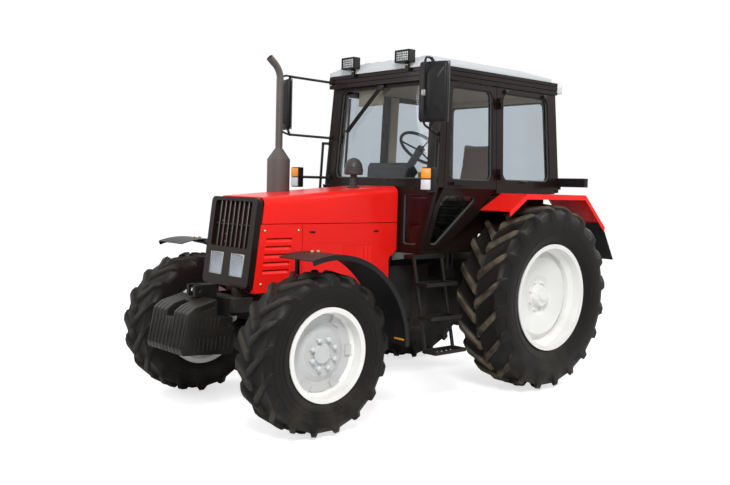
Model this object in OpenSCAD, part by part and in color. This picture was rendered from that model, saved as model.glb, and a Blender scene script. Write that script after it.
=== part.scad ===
// Farm tractor with a glazed cab, a driven front axle and front ballast.
// Millimetres. X runs forward, Y to the left and Z up.
// Values along X are measured from the rear axle; the last lines move the whole to its frame.

/* [Running gear] */
// Distance between the axles
wheelbase = 2450; // [2420:5:2520]
// Rear tyre radius at the lug tips
rear_tyre_r = 812; // [795:1:825]
// Rear tyre section width
rear_tyre_w = 466; // [440:1:480]
// Rear rim flange radius
rear_rim_r = 462; // [450:1:470]
// Rear wheel centre from the middle
rear_wheel_y = 815; // [805:1:840]
// Rear lug height
rear_lug_h = 42; // [30:1:50]
// Front tyre radius at the lug tips
front_tyre_r = 575; // [565:1:585]
// Front tyre section width
front_tyre_w = 357; // [340:1:365]
// Front rim flange radius
front_rim_r = 331; // [320:1:340]
// Front wheel centre from the middle
front_wheel_y = 812; // [805:1:830]
// Front lug height
front_lug_h = 34; // [25:1:40]
// Kingpin axis from the middle
kingpin_y = 590; // [585:1:600]
// Steering arm length behind the kingpin
steer_arm = 230; // [225:1:240]

/* [Body] */
// Height of the cab sill line
sill_z = 1740; // [1735:1:1750]
// Cab half width at the sill
cab_y = 711; // [700:1:715]
// Lean of the cab sides in degrees
side_lean = 2.3; // [1.5:0.1:3]
// Lean of the windscreen in degrees
front_lean = 3.6; // [3:0.1:4]
// Lean of the rear wall in degrees
rear_lean = 4; // [3:0.1:5]
// Windscreen frame front face at the sill
cab_front_x = 1163; // [1155:1:1175]
// Rear wall face at the sill
cab_rear_x = -449; // [-460:1:-440]
// Top of the cab walls
wall_top_z = 2600; // [2580:1:2620]
// Top of the roof cap
roof_top_z = 2800; // [2780:1:2810]
// Cab floor underside
floor_z = 1190; // [1180:1:1200]
// Bonnet half width
hood_y = 305; // [295:1:310]
// Bonnet sheet thickness
hood_t = 6; // [4:1:8]
// Bonnet top height at the grille
hood_front_z = 1627; // [1615:1:1640]
// Bonnet top height at the cab
hood_rear_z = 1738; // [1730:1:1745]
// Seam between bonnet top and side panels
seam_z = 1440; // [1430:1:1450]
// Rear mudguard outer edge from the middle
fender_y = 988; // [970:1:1000]

/* [Couplings] */
// Lower link eye bore radius
link_bore_r = 14.4; // [14.3:0.1:14.8]
// Top link eye bore radius
top_bore_r = 12.8; // [12.7:0.1:13.2]
// Power take-off shaft radius
pto_r = 17.4; // [17.2:0.1:17.5]
// Drawbar pin bore radius
draw_bore_r = 16; // [15:0.5:18]
// Front towing bore radius
tow_bore_r = 16; // [15:0.5:18]

/* [Hidden] */
$fn = 48;
run_clear = 0.05;
gap = 0.5;
x_front = wheelbase + 720;
x_rear = -1030;
x_mid = (x_front + x_rear) / 2;
axle_z = front_tyre_r;
rear_z = rear_tyre_r;
c_red = [0.72, 0.06, 0.07];
c_dark = [0.09, 0.08, 0.08];
c_black = [0.05, 0.05, 0.05];
c_tyre = [0.06, 0.06, 0.06];
c_white = [0.88, 0.88, 0.86];
c_grey = [0.5, 0.5, 0.5];
c_iron = [0.16, 0.15, 0.15];
c_glass = [0.55, 0.65, 0.7, 0.35];
c_amber = [0.95, 0.5, 0.08];
c_brown = [0.3, 0.2, 0.14];
slab_pitch = 49.6;
rail_y0 = 150;
rail_y1 = 205;
rail_z0 = 770;
rail_z1 = 900;
frame_x1 = wheelbase + 310;
engine_x0 = 1500;
engine_x1 = wheelbase - 120;
engine_y = 190;
core_y = 250;
wall_t = 50;
front_t = 70;
rear_t = 60;
door_gap = 6;
hinge_x = 415;
hinge_out = 34;
pillar_x0 = 376;
pillar_x1 = 434;
low_lean = 16.8;
fire_x0 = 1148;
fire_x1 = 1188;
hood_x0 = 1207;
hood_x1 = wheelbase + 150;
grille_lean = 7.4;
grille_top_x = hood_x1;
grille_t = 50;
grille_z0 = 970;
lid_x = wheelbase + 90;
lid_drop = 20;
lid_pin_r = 6;
lid_y = 200;
fender_top_z = 1700;
muffler_x = wheelbase - 417;
muffler_y = -236;
muffler_r = 92;
bend_r = 150;
bend_z = 2570;
bend_turn = 50;
mouth_l = 70;
pipe_r = 29;
notch_r0 = 390;
notch_r1 = 700;
notch_y = -128;
notch_gap = 6;
lift_pivot = [-180, 430];
lift_v = [-400, 40];
lift_w = [-60, 640];
link_y0 = 250;
link_splay = 11.2;
link_eye_r = 36;
link_eye_l = 60;
link_reach = link_eye_r * cos(link_splay) + link_eye_l / 2 * sin(link_splay);
link_span = x_rear + link_reach - lift_pivot.x;
link_y1 = link_y0 - link_span * tan(link_splay);
link_end = lift_pivot + lift_v * link_span / lift_v.x;
arm_y = lerp(link_y0, link_y1, lift_v.x / link_span);
shaft_r = 37.5;
spindle_r = 55;
kingpin_r = 28;

// Helpers
module both() {
    children();
    mirror([0, 1, 0]) children();
}
module box(x0, x1, y0, y1, z0, z1) translate([x0, y0, z0]) cube([x1 - x0, y1 - y0, z1 - z0]);
module rod_x(r, x0, x1) translate([x0, 0, 0]) rotate([0, 90, 0]) cylinder(h = x1 - x0, r = r);
module rod_y(r, y0, y1) translate([0, y0, 0]) rotate([-90, 0, 0]) cylinder(h = y1 - y0, r = r);
module rod(a, b, r) {
    v = b - a;
    translate(a) rotate([0, acos(v.z / norm(v)), atan2(v.y, v.x)]) cylinder(h = norm(v), r = r, $fn = 20);
}
// Profile in X and Z drawn out along Y
module side_plate(y0, y1) translate([0, y1, 0]) rotate([90, 0, 0]) linear_extrude(y1 - y0) children();
// Profile in Y and Z drawn out along X
module end_plate(x0, x1) translate([x0, 0, 0]) rotate([90, 0, 90]) linear_extrude(x1 - x0) children();
// Profile turned round the Y axis, its second value pointing outboard
module turned() rotate([-90, 0, 0]) rotate_extrude($fn = 72) children();

function unit(v) = v / norm(v);
function fillet(a, b, c, r, n) =
    let (u = unit(a - b), w = unit(c - b), half = acos(u * w) / 2, o = b + unit(u + w) * (r / sin(half)))
    let (p = b + u * (r / tan(half)) - o, q = b + w * (r / tan(half)) - o)
    let (a0 = atan2(p.y, p.x), sweep = ((atan2(q.y, q.x) - a0 + 540) % 360) - 180)
    [for (i = [0:n]) o + r * [cos(a0 + sweep * i / n), sin(a0 + sweep * i / n)]];
function rounded(p, r, n = 4) =
    [for (i = [0:len(p) - 1]) each fillet(p[(i + len(p) - 1) % len(p)], p[i], p[(i + 1) % len(p)], r, n)];
function lerp(a, b, t) = a + (b - a) * t;

// Cab planes, with s measured up the leaning wall from the sill
function up(z) = (z - sill_z) / cos(side_lean);
function front_in(s) = cab_front_x - front_t - s * tan(front_lean);
function rear_in(s) = cab_rear_x + rear_t + s * tan(rear_lean);
module upper_side(t = wall_t, inset = 0)
    translate([0, cab_y, sill_z]) rotate([side_lean, 0, 0]) translate([0, -inset, 0]) rotate([90, 0, 0])
        linear_extrude(t) children();
module lower_side(t = wall_t, inset = 0)
    translate([0, cab_y, sill_z]) rotate([-low_lean, 0, 0]) translate([0, -inset, 0]) rotate([90, 0, 0])
        linear_extrude(t) children();
module hinge_axis() translate([hinge_x, cab_y + hinge_out, sill_z]) rotate([side_lean, 0, 0]) children();

// Chassis
module front_frame() color(c_iron) {
    both() box(engine_x0, frame_x1, rail_y0, rail_y1, rail_z0, rail_z1);
    box(wheelbase - 80, wheelbase + 80, -rail_y1, rail_y1, rail_z0 - 14, rail_z1);
    box(frame_x1 - 120, frame_x1, -rail_y1, rail_y1, rail_z0, rail_z1);
    both() box(hood_x1, frame_x1, rail_y1 - 5, 262, rail_z0 + 30, rail_z1);
    both() box(frame_x1 - 110, frame_x1 - 70, 120, 180, rail_z1 - 10, grille_z0 - grille_t * sin(grille_lean) - 0.3);
}
module engine() color(c_iron) {
    box(engine_x0 + gap, engine_x1, -145, 145, 690, 1000);
    box(engine_x0 + gap, engine_x1, -engine_y, engine_y, rail_z1 + gap, 1330);
    box(engine_x0 + 60, engine_x1 - 50, -115, 115, 1300, 1440);
    translate([muffler_x, muffler_y, 1300]) cylinder(h = 90, r = 46);
    both() box(engine_x0 + 200, engine_x1 - 230, 150, 225, 1000, 1180);
    translate([0, engine_y, 700]) rod_x(50, engine_x0 + 20, engine_x0 + 230);
    translate([0, engine_y - 20, 700]) rod_x(62, engine_x0 + 4, engine_x0 + 40);
    box(muffler_x - 60, muffler_x + 60, -260, -100, 1230, 1310);
}
module transmission() color(c_iron) {
    box(900, engine_x0, -190, 190, 600, 1060);
    side_plate(-205, 205)
        polygon([[-340, 500], [900, 520], [900, 1060], [-200, 1110], [-340, 980]]);
    translate([lift_pivot.x, 0, lift_pivot.y]) rod_y(28, -link_y0 - 30, link_y0 + 30);
    box(lift_pivot.x - 60, lift_pivot.x + 60, -200, 200, lift_pivot.y - 30, 520);
    translate([lift_pivot.x + lift_w.x, 0, lift_pivot.y + lift_w.y]) rod_y(34, -arm_y - 30, arm_y + 30);
    translate([-340, 0, 640]) rod_x(60, -30, 10);
    translate([-340, 0, 640]) rod_x(pto_r, -106, 0);
}
module rear_axle() color(c_iron) both() difference() {
    translate([0, 0, rear_z]) {
        turned() polygon([[0, 205 + gap], [150, 205 + gap], [150, 236], [122, 262], [104, 330], [94, 440],
            [98, 470], [135, 474], [135, 500], [80, 504], [72, 520], [72, 640], [0, 640]]);
    }
    translate([0, 0, rear_z]) rod_y(shaft_r + run_clear, 540, 650);
}
module front_axle() color(c_iron) translate([wheelbase, 0, axle_z]) difference() {
    union() {
        both() turned() polygon([[0, -1], [140, -1], [140, 62], [124, 92], [84, 150], [66, 260], [62, 420],
            [74, kingpin_y - 90], [74, kingpin_y - 70], [0, kingpin_y - 70]]);
        box(-60, 60, -80, 80, 60, rail_z0 - 14 - gap - axle_z);
        rotate([0, 0, 180]) rod_x(60, 0, 210);
        both() for (k = [-1, 1]) translate([0, kingpin_y, k * 112]) {
            translate([0, 0, -18]) cylinder(h = 36, r = 54);
            box(-50, 50, -105, 0, -18, 18);
        }
        both() box(-50, 50, kingpin_y - 120, kingpin_y - 84, -130, 130);
    }
    both() translate([0, kingpin_y, -200]) cylinder(h = 400, r = kingpin_r + run_clear);
}
module drive_shaft() color(c_iron) rod([1000, 0, 560], [wheelbase - 212, 0, axle_z], 34);
module radiator() color([0.35, 0.16, 0.12]) difference() {
    union() {
        box(wheelbase - 10, wheelbase + 50, -core_y, core_y, rail_z1 + gap, 1560);
        both() box(wheelbase + 20, lid_x, lid_y + 4, lid_y + 16, 1540, lid_z + 10);
        both() translate([lid_x, 0, lid_z]) rod_y(11, lid_y + 4, lid_y + 16);
    }
    translate([lid_x, 0, lid_z]) rod_y(lid_pin_r + run_clear, -lid_y - 20, lid_y + 20);
}

// Ballast and front coupling
module front_weights() color(c_black)
    for (k = [-5:4]) translate([x_front, k * slab_pitch, 0]) difference() {
        side_plate(0.3, slab_pitch - 0.3) polygon([[-280, 905], [-110, 858], [-52, 818], [0, 560], [-10, 530],
            [-400, 505], [-418, 520], [-418, 700], [-330, 712], [-330, 772], [-280, 790]]);
        if (k == -1 || k == 0) box(-190, 0, -1, slab_pitch, 775, 920);
        if (k == -5 || k == 4) translate([-210, 0, 850]) rotate([0, 15, 0]) slab_pocket();
    }
module slab_pocket() for (y = [0, slab_pitch]) translate([0, y - 7, 0]) side_plate(0, 14)
    polygon(rounded([[-52, -14], [52, -14], [52, 14], [-52, 14]], 13, 4));
module weight_carrier() color(c_black) difference() {
    union() {
        box(frame_x1 + gap, x_front - 330.5, -248, 248, 714, 771);
        box(frame_x1 + gap, x_front - 380, -200, 200, 770, 898);
        box(x_front - 380, x_front - 282, -60, 60, 792, 900);
        both() box(x_front - 310, x_front - 210, 30, 60, 906, 990);
        box(x_front - 390, x_front - 282, -60, 60, 890, 990);
    }
    translate([x_front - 245, 0, 950]) rod_y(tow_bore_r, -70, 70);
}

// Bonnet and grille
function hood_top_z(x) = lerp(hood_rear_z, hood_front_z, (x - hood_x0) / (grille_top_x - hood_x0));
function hood_section(x, d) =
    let (h = hood_top_z(x) - d, w = hood_y - d)
    concat([[-w, seam_z]], fillet([-w, seam_z], [-w, h], [0, h], 62 - d, 5),
        fillet([0, h], [w, h], [w, seam_z], 62 - d, 5), [[w, seam_z]]);
lid_z = hood_top_z(lid_x) - lid_drop;
module hood_slice(x, d) end_plate(x, x + 1) polygon(hood_section(x, d));
module hood_shell() difference() {
    hull() {
        hood_slice(hood_x0, 0);
        hood_slice(hood_x1 - 1, 0);
    }
    hull() {
        hood_slice(hood_x0 - 3, hood_t);
        hood_slice(hood_x1 + 2, hood_t);
    }
    box(hood_x0 - 10, hood_x1 + 10, -hood_y + hood_t, hood_y - hood_t, seam_z - 5, seam_z + 1);
    translate([grille_top_x - grille_t - 16, 0, hood_front_z]) rotate([0, -grille_lean, 0])
        box(0, 200, -400, 400, -400, 200);
}
hood_slope = atan((hood_rear_z - hood_front_z) / (grille_top_x - hood_x0));
function grille_back(z) = grille_top_x - grille_t + (hood_front_z - z) * tan(grille_lean);
// Opening round the exhaust, with ends that follow the lid's swing
module notch_ring(d) translate([lid_x, 0, lid_z]) difference() {
    rod_y(notch_r1 - d, -hood_y - 5, notch_y - d);
    rod_y(notch_r0 + d, -hood_y - 10, notch_y + 10);
}
function notch_x(r) = lid_x - sqrt(r * r - (lid_z - seam_z + 5) * (lid_z - seam_z + 5));
module bonnet_top() color(c_red) {
    difference() {
        hood_shell();
        notch_ring(0);
    }
    both() translate([lid_x, 0, lid_z]) rod_y(lid_pin_r, lid_y, lid_y + 34);
    both() side_plate(lid_y + 22, lid_y + 34) polygon([[lid_x - 12, lid_z + lid_drop - 4],
        [lid_x - 10, lid_z - 8], [lid_x + 4, lid_z - 9], [lid_x + 6, lid_z + 6], [lid_x - 8, lid_z + lid_drop - 4]]);
}
module bonnet_cover() color(c_red) difference() {
    union() {
        intersection() {
            hood_shell();
            notch_ring(notch_gap);
        }
        box(notch_x(notch_r1 - notch_gap) + 2, notch_x(notch_r0 + notch_gap) - 2, -hood_y, -hood_y + hood_t,
            seam_z - 4.6, seam_z + 4);
    }
    translate([muffler_x, muffler_y, seam_z - 10]) cylinder(h = 400, r = muffler_r + 6);
}
panel_seam_x = wheelbase - 260;
louvre_x = wheelbase - 165;
louvre_l = 235;
louvre_h = 34;
louvre_top_z = 1300;
louvre_pitch = 58;
slat_x = 1487;
slat_w = 30;
slat_pitch = 45;
slat_z0 = 1100;
slat_z1 = 1266;
press_x0 = 1417;
press_x1 = 2118;
press_z0 = 1025;
press_z1 = 1302;
module louvres() for (i = [0:4]) translate([7.5 * i, 0, -louvre_pitch * i]) children();
module slats() for (i = [0:6]) translate([slat_pitch * i, 0, 0]) children();
// Blade pressed in from its lower edge, open along the top
module louvre_blade() end_plate(louvre_x - 2, louvre_x + louvre_l + 2)
    polygon([[hood_y - 5, louvre_top_z - 2], [hood_y - 0.5, louvre_top_z - 2], [hood_y - 0.5, louvre_top_z + 4],
        [hood_y - 16, louvre_top_z + louvre_h - 4], [hood_y - 18, louvre_top_z + louvre_h - 10]]);
// Blade pressed in from its rear edge
module slat_blade() translate([0, 0, slat_z0 - 2]) linear_extrude(slat_z1 - slat_z0 + 4)
    polygon([[slat_x - 2, hood_y - 5], [slat_x - 2, hood_y - 0.5], [slat_x + 4, hood_y - 0.5],
        [slat_x + slat_w - 4, hood_y - 14], [slat_x + slat_w - 9, hood_y - 16]]);
module press_line(d) polygon(rounded([[press_x0 + d, press_z0 + d], [press_x1 - d, press_z0 + d],
    [press_x1 - d, press_z1 - d], [press_x0 + d, press_z1 - d]], 30 - d, 3));
module bonnet_sides() color(c_red) both() {
    difference() {
        side_plate(hood_y - hood_t, hood_y) polygon([[panel_seam_x + 3, 950], [panel_seam_x + 3, seam_z - 5],
            [grille_back(seam_z - 5) - 8, seam_z - 5], [grille_back(950) - 8, 950]]);
        louvres() box(louvre_x, louvre_x + louvre_l, hood_y - 10, hood_y + 5, louvre_top_z, louvre_top_z + louvre_h);
    }
    louvres() louvre_blade();
    difference() {
        side_plate(hood_y - hood_t, hood_y) polygon(concat([[panel_seam_x - 3, 950], [panel_seam_x - 3, seam_z - 5],
            [hood_x0, seam_z - 5], [hood_x0, 1208]], fillet([hood_x0, 1208], [1291, 1150], [1291, 950], 40, 4),
            [[1291, 950]]));
        slats() box(slat_x, slat_x + slat_w, hood_y - 10, hood_y + 5, slat_z0, slat_z1);
    }
    slats() slat_blade();
    side_plate(hood_y - 2, hood_y + 2.5) difference() {
        press_line(0);
        press_line(12);
    }
    box(1296, grille_back(955) - 20, core_y + 3, hood_y, 935, 955);
    for (x = [engine_x0 + 200, engine_x1 - 80]) box(x, x + 60, engine_y + 2, core_y + 14, rail_z1 + gap, 940);
}
module grille() color(c_dark) translate([grille_top_x, 0, hood_front_z]) rotate([0, -grille_lean, 0]) {
    h = (hood_front_z - grille_z0) / cos(grille_lean);
    difference() {
        end_plate(-grille_t, 0) polygon(rounded([[-hood_y, -h], [hood_y, -h], [hood_y, 0], [-hood_y, 0]], 40, 4));
        end_plate(-60, 10) polygon(rounded([[-245, -375], [245, -375], [245, -28], [-245, -28]], 20, 3));
        for (k = [-1, 1]) end_plate(-60, 10)
            polygon(rounded([[k * 138 - 88, -588], [k * 138 + 88, -588], [k * 138 + 88, -418],
                [k * 138 - 88, -418]], 16, 3));
    }
    for (k = [-3:3]) box(-36, -12, k * 61 - 10, k * 61 + 10, -377, -26);
    box(-33, -18, -247, 247, -208, -196);
}
module headlamps() color([0.9, 0.9, 0.88]) translate([grille_top_x, 0, hood_front_z]) rotate([0, -grille_lean, 0])
    for (k = [-1, 1]) end_plate(-70, -6)
        polygon(rounded([[k * 138 - 87.6, -587.6], [k * 138 + 87.6, -587.6], [k * 138 + 87.6, -418.4],
            [k * 138 - 87.6, -418.4]], 15.6, 3));
module exhaust() color([0.24, 0.2, 0.18]) translate([muffler_x, muffler_y, 0]) difference() {
    union() {
        rotate_extrude() polygon([[0, 1390 + gap], [46, 1390 + gap], [46, 1460], [34, 1460], [34, 1590],
            [muffler_r, 1630], [muffler_r, 1930], [pipe_r, 2020], [pipe_r, bend_z], [0, bend_z]]);
        translate([bend_r, 0, bend_z]) rotate([90, 0, 0]) rotate([0, 0, 180 - bend_turn - 2])
            rotate_extrude(angle = bend_turn + 4) translate([bend_r, 0]) circle(r = pipe_r - 1.5);
        bend_end() cylinder(h = mouth_l, r = pipe_r);
    }
    bend_end() translate([0, 0, 12]) cylinder(h = mouth_l, r = pipe_r - 4);
}
module bend_end() translate([bend_r - bend_r * cos(bend_turn), 0, bend_z + bend_r * sin(bend_turn)])
    rotate([0, bend_turn, 0]) children();
module precleaner() color(c_black) translate([1485, 60, 0]) {
    translate([0, 0, hood_top_z(1485)]) rotate([0, hood_slope, 0]) translate([0, 0, 0.4]) cylinder(h = 10, r = 50);
    translate([0, 0, hood_top_z(1485) + 5]) cylinder(h = 110, r = 28);
    rotate_extrude() polygon(concat([[0, 1822], [70, 1822], [78, 1832], [78, 1872], [73, 1876]],
        [for (a = [8:10:88]) [74 * cos(a), 1876 + 86 * sin(a)]], [[0, 1962]]));
}

// Cab
module cab_mounts() color(c_black) both() {
    box(620, 720, 205 + gap, 430, 960, 1040);
    translate([670, 380, 1035]) cylinder(h = floor_z - 1035 - gap, r = 50);
    box(-110, -10, 205 + gap, 430, 1000, 1060);
    translate([-60, 380, 1055]) cylinder(h = 1345 - 1055 - gap, r = 50);
}
tub_y = 548;
diag_top = [500, -30];
diag_low = [968, -(sill_z - floor_z - 40) / cos(low_lean)];
diag_n = unit([diag_low.y - diag_top.y, diag_top.x - diag_low.x]);
module cab_tub() color(c_dark) {
    difference() {
        side_plate(-tub_y, tub_y) polygon([[fire_x0 - gap, floor_z], [520, floor_z], [460, 1345], [-430, 1345],
            [cab_rear_x + 40, 1400], [cab_rear_x + 40, 1700], [390, 1700], [960, 1222], [fire_x0 - gap, 1222]]);
        side_plate(-tub_y + 12, tub_y - 12) polygon([[fire_x0 + 5, floor_z + 24], [546, floor_z + 24],
            [486, 1369], [-414, 1369], [cab_rear_x + 56, 1404], [cab_rear_x + 56, 1710], [400, 1710],
            [fire_x0 + 5, 1240]]);
    }
    both() lower_side() polygon([diag_top + 6 * diag_n, diag_low + 6 * diag_n, diag_low + 50 * diag_n,
        diag_top + 34 * diag_n]);
    both() difference() {
        side_plate(tub_y - 6, cab_y) polygon([[372, 1698], [392, 1698], [972, 1212], [952, 1212]]);
        lower_side(300, -300) square([1200, 1400], center = false);
        lower_side(300, -300) translate([0, -800]) square([1200, 800]);
    }
}
fire_top = sill_z - (cab_front_x - fire_x0) * tan(front_lean) - 0.4;
module firewall() color(c_dark) difference() {
    end_plate(fire_x0, fire_x1) polygon([[-cab_y + 165, floor_z], [cab_y - 165, floor_z],
        [cab_y, fire_top], [-cab_y, fire_top]]);
    both() end_plate(fire_x0 - 5, fire_x1 + 5)
        polygon(rounded([[352, 1262], [510, 1262], [628, 1680], [352, 1680]], 30, 4));
}
module firewall_glass() color(c_glass) both() end_plate(fire_x0 + 16, fire_x0 + 22)
    polygon(rounded([[352.3, 1262.3], [509.7, 1262.3], [627.6, 1679.7], [352.3, 1679.7]], 30, 4));
module leaning_front(x0, x1) translate([cab_front_x, 0, sill_z]) rotate([0, -front_lean, 0])
    end_plate(x0, x1) children();
function front_edge(s) = cab_y - s * cos(front_lean) * tan(side_lean);
front_h = (wall_top_z - sill_z) / cos(front_lean);
screen = [[-582, 62], [582, 62], [548, front_h - 18], [-548, front_h - 18]];
module windscreen_frame() color(c_dark) difference() {
    leaning_front(-front_t, 0) polygon([[-front_edge(0), 0], [front_edge(0), 0], [front_edge(front_h), front_h],
        [-front_edge(front_h), front_h]]);
    leaning_front(-front_t - 5, 5) polygon(rounded(screen, 60, 5));
}
module windscreen() color(c_glass) leaning_front(-28, -22) polygon(rounded(
    [[-581.7, 62.3], [581.7, 62.3], [547.7, front_h - 18.3], [-547.7, front_h - 18.3]], 59.7, 5));
rear_h = (wall_top_z - sill_z) / cos(rear_lean);
module leaning_rear(x0, x1) translate([cab_rear_x, 0, sill_z]) rotate([0, rear_lean, 0])
    end_plate(x0, x1) children();
module rear_wall() color(c_dark) difference() {
    union() {
        leaning_rear(0, rear_t) polygon([[-front_edge(0), 0], [front_edge(0), 0],
            [front_edge(rear_h), rear_h], [-front_edge(rear_h), rear_h]]);
        end_plate(cab_rear_x, cab_rear_x + 39) polygon([[-tub_y, 1400], [tub_y, 1400], [tub_y, 1701],
            [cab_y, 1714], [cab_y, sill_z + 1], [-cab_y, sill_z + 1], [-cab_y, 1714], [-tub_y, 1701]]);
    }
    leaning_rear(-5, rear_t + 5) polygon(rounded([[-600, 55], [600, 55], [570, rear_h - 60],
        [-570, rear_h - 60]], 60, 5));
}
module rear_glass() color(c_glass) leaning_rear(24, 30) polygon(rounded([[-599.7, 55.3], [599.7, 55.3],
    [569.7, rear_h - 60.3], [-569.7, rear_h - 60.3]], 59.7, 5));
top_s = up(wall_top_z) - 2;
quarter_s0 = up(fender_top_z + 0.6 + wall_t * sin(side_lean));
quarter_hole = [[-318, 70], [pillar_x0 - 26, 70], [pillar_x0 - 26, top_s - 40], [-272, top_s - 40]];
module quarter_frames() color(c_dark) both() {
    difference() {
        upper_side() polygon([[rear_in(-24) + gap, quarter_s0], [pillar_x1, quarter_s0], [pillar_x1, top_s],
            [rear_in(top_s) + gap, top_s]]);
        upper_side(wall_t + 20, -10) polygon(rounded(quarter_hole, 70, 5));
        box(cab_rear_x - 5, cab_rear_x + 40, 0, 800, 1600, sill_z + 2);
    }
    hinge_axis() for (s = [120, 720]) {
        translate([0, 0, s - 45]) cylinder(h = 44.6, r = 15);
        translate([0, 0, s - 20]) cylinder(h = 68, r = 8);
        box(-26, 0, -hinge_out - 8, 0, s - 45, s - 0.4);
    }
}
module quarter_glass() color(c_glass) both() upper_side(6, 22) polygon(rounded([[-317.7, 70.3],
    [pillar_x0 - 26.3, 70.3], [pillar_x0 - 26.3, top_s - 40.3], [-271.7, top_s - 40.3]], 69.7, 5));
module roof_frame() color(c_dark) difference() {
    box(-400, 1150, -690, 690, wall_top_z + gap, wall_top_z + 108);
    for (z = [wall_top_z + 34, wall_top_z + 72]) difference() {
        box(-410, 1160, -700, 700, z, z + 8);
        box(-388, 1138, -678, 678, z - 1, z + 9);
    }
    box(-330, 1060, -600, 600, wall_top_z + 20, wall_top_z + 120);
}
module roof_cap() color(c_white) {
    roof_shell();
    for (k = [-3:3]) box(-30, 1070, k * 140 - 34, k * 140 + 34, roof_top_z - 8, roof_top_z + 9);
}
module roof_shell() difference() {
    hull() {
        box(-330, 1165, -672, 672, wall_top_z + 108 + gap, wall_top_z + 140);
        box(-220, 1130, -600, 600, wall_top_z + 140, roof_top_z - 60);
        box(-60, 1090, -520, 520, wall_top_z + 140, roof_top_z);
    }
    hull() {
        box(-310, 1145, -652, 652, wall_top_z + 100, wall_top_z + 132);
        box(-200, 1110, -585, 585, wall_top_z + 130, roof_top_z - 72);
        box(-50, 1080, -510, 510, wall_top_z + 130, roof_top_z - 12);
    }
}
module dash() color(c_grey) {
    side_plate(-230, 230) polygon([[1140, floor_z + 24 + gap], [1140, 1730], [1076, 1736], [1066, 1900], [1040, 1938],
        [960, 1925], [900, 1860], [960, 1800], [1000, floor_z + 24 + gap]]);
    rod(wheel_c - 530 * wheel_axis, wheel_c - 50.4 * wheel_axis, 34);
}
wheel_c = [640, 0, 2080];
wheel_tilt = -40;
wheel_axis = [sin(wheel_tilt), 0, cos(wheel_tilt)];
module steering_wheel() color(c_black) translate(wheel_c) rotate([0, wheel_tilt, 0]) {
    rotate_extrude() translate([205, 0]) circle(r = 14, $fn = 16);
    translate([0, 0, -50]) cylinder(h = 56, r = 36);
    for (k = [0:2]) rotate([0, 0, 60 + k * 120]) rod([20, 0, -24], [205, 0, 0], 8);
}
module seat() color(c_brown) {
    box(-140, 330, -240, 240, 1620, 1730);
    translate([-60, 0, 1725]) rotate([0, -10, 0]) box(-110, 0, -235, 235, -20, 470);
    box(-120, 260, -180, 180, 1369 + gap, 1625);
}

// Mudguards, steps and fittings
fender_line = [[588, 1556], [366, fender_top_z], [-480, fender_top_z], [-806, 1408]];
fender_under = [[580, 1550], [362, fender_top_z - 8], [-476, fender_top_z - 8], [-800, 1402]];
module rear_fenders() color(c_red) both() difference() {
    fender_sheet();
    lower_side(400, -8) translate([356, -640]) square([646, 700]);
}
module fender_sheet() {
    side_plate(tub_y + gap, fender_y) polygon(concat(fender_line, [for (i = [3:-1:0]) fender_under[i]]));
    side_plate(fender_y - 8, fender_y) polygon(concat(fender_line,
        [for (i = [3:-1:0]) fender_under[i] - [0, 36]]));
}
flap_v = unit(fender_under[2] - fender_under[3]);
flap_n = [-flap_v.y, flap_v.x] * -1;
module mud_flaps() color(c_black) both() side_plate(640, fender_y - 10)
    polygon([fender_under[3] + 70 * flap_v + 0.4 * flap_n, fender_under[3] + 0.4 * flap_n, [-984, 1103],
        [-976, 1100], fender_under[3] + 8 * flap_n, fender_under[3] + 70 * flap_v + 8 * flap_n]);
module steps() color(c_black) both() {
    for (x = [968, 1288]) rod([x, 590, floor_z - 14], [x, 756, 420], 15);
    for (k = [0:2]) {
        z = 440 + k * 262;
        y = lerp(756, 590, (z - 420) / (floor_z - 434));
        difference() {
            box(950, 1306, y - 16, y + 130, z - 14, z + 14);
            box(984, 1272, y - 6, y + 120, z - 8, z + 20);
            for (i = [0:4]) box(998 + i * 54, 1034 + i * 54, y + 8, y + 106, z - 20, z);
        }
    }
    box(940, 1310, 500, 606, floor_z - 30, floor_z - gap);
}
module mirror_left_half() {
    translate([1450, 925, 2450]) rotate([0, 0, 17]) {
        rotate([90, 0, 90]) linear_extrude(40) polygon(rounded([[-112, -218], [112, -218], [112, 218],
            [-112, 218]], 30, 4));
        translate([39, 0, 0]) rotate([90, 0, 90]) linear_extrude(36, scale = 0.55) polygon(rounded(
            [[-104, -208], [104, -208], [104, 208], [-104, 208]], 30, 4));
    }
    rod([1450, 925, 2650], [1450, 880, 2700], 11);
    for (z = [2180, 2700]) translate([1450, 880, z]) sphere(r = 13, $fn = 20);
    rod([1450, 880, 2700], [1158, 668, 2660], 11);
    box(1150 + gap, 1157, 645, 688, 2638, 2682);
    rod([1450, 925, 2250], [1450, 880, 2180], 11);
    rod([1450, 880, 2180], [1147, 668, 2160], 11);
    leaning_front(gap, 8) translate([648, 398]) square([40, 46]);
}
module mirrors() color(c_black) both() mirror_left_half();
module lamps() color(c_black) both() {
    difference() {
        box(1167, 1240, 338 - 82, 338 + 82, 2745, 2845);
        box(1226, 1245, 338 - 72, 338 + 72, 2755, 2835);
    }
    box(1150 + gap, 1180, 338 - 20, 338 + 20, 2685, 2706);
    box(1166, 1180, 338 - 20, 338 + 20, 2700, 2760);
    box(-470, -400 - gap, 600, 690, 2620, 2700);
    box(-500, cab_rear_x - gap, 700, fender_y, 1770, 1850);
    box(cab_rear_x - 20, cab_rear_x - gap, 640, 720, 1745, 1850);
}
module indicators() color(c_amber) both() {
    box(1360, 1430, 775, 885, 1708, 1888);
    rod([1395, 800, 1800], [1170, 650, 1800], 12);
    leaning_front(gap, 8) translate([630, 40]) square([40, 40]);
}
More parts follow.
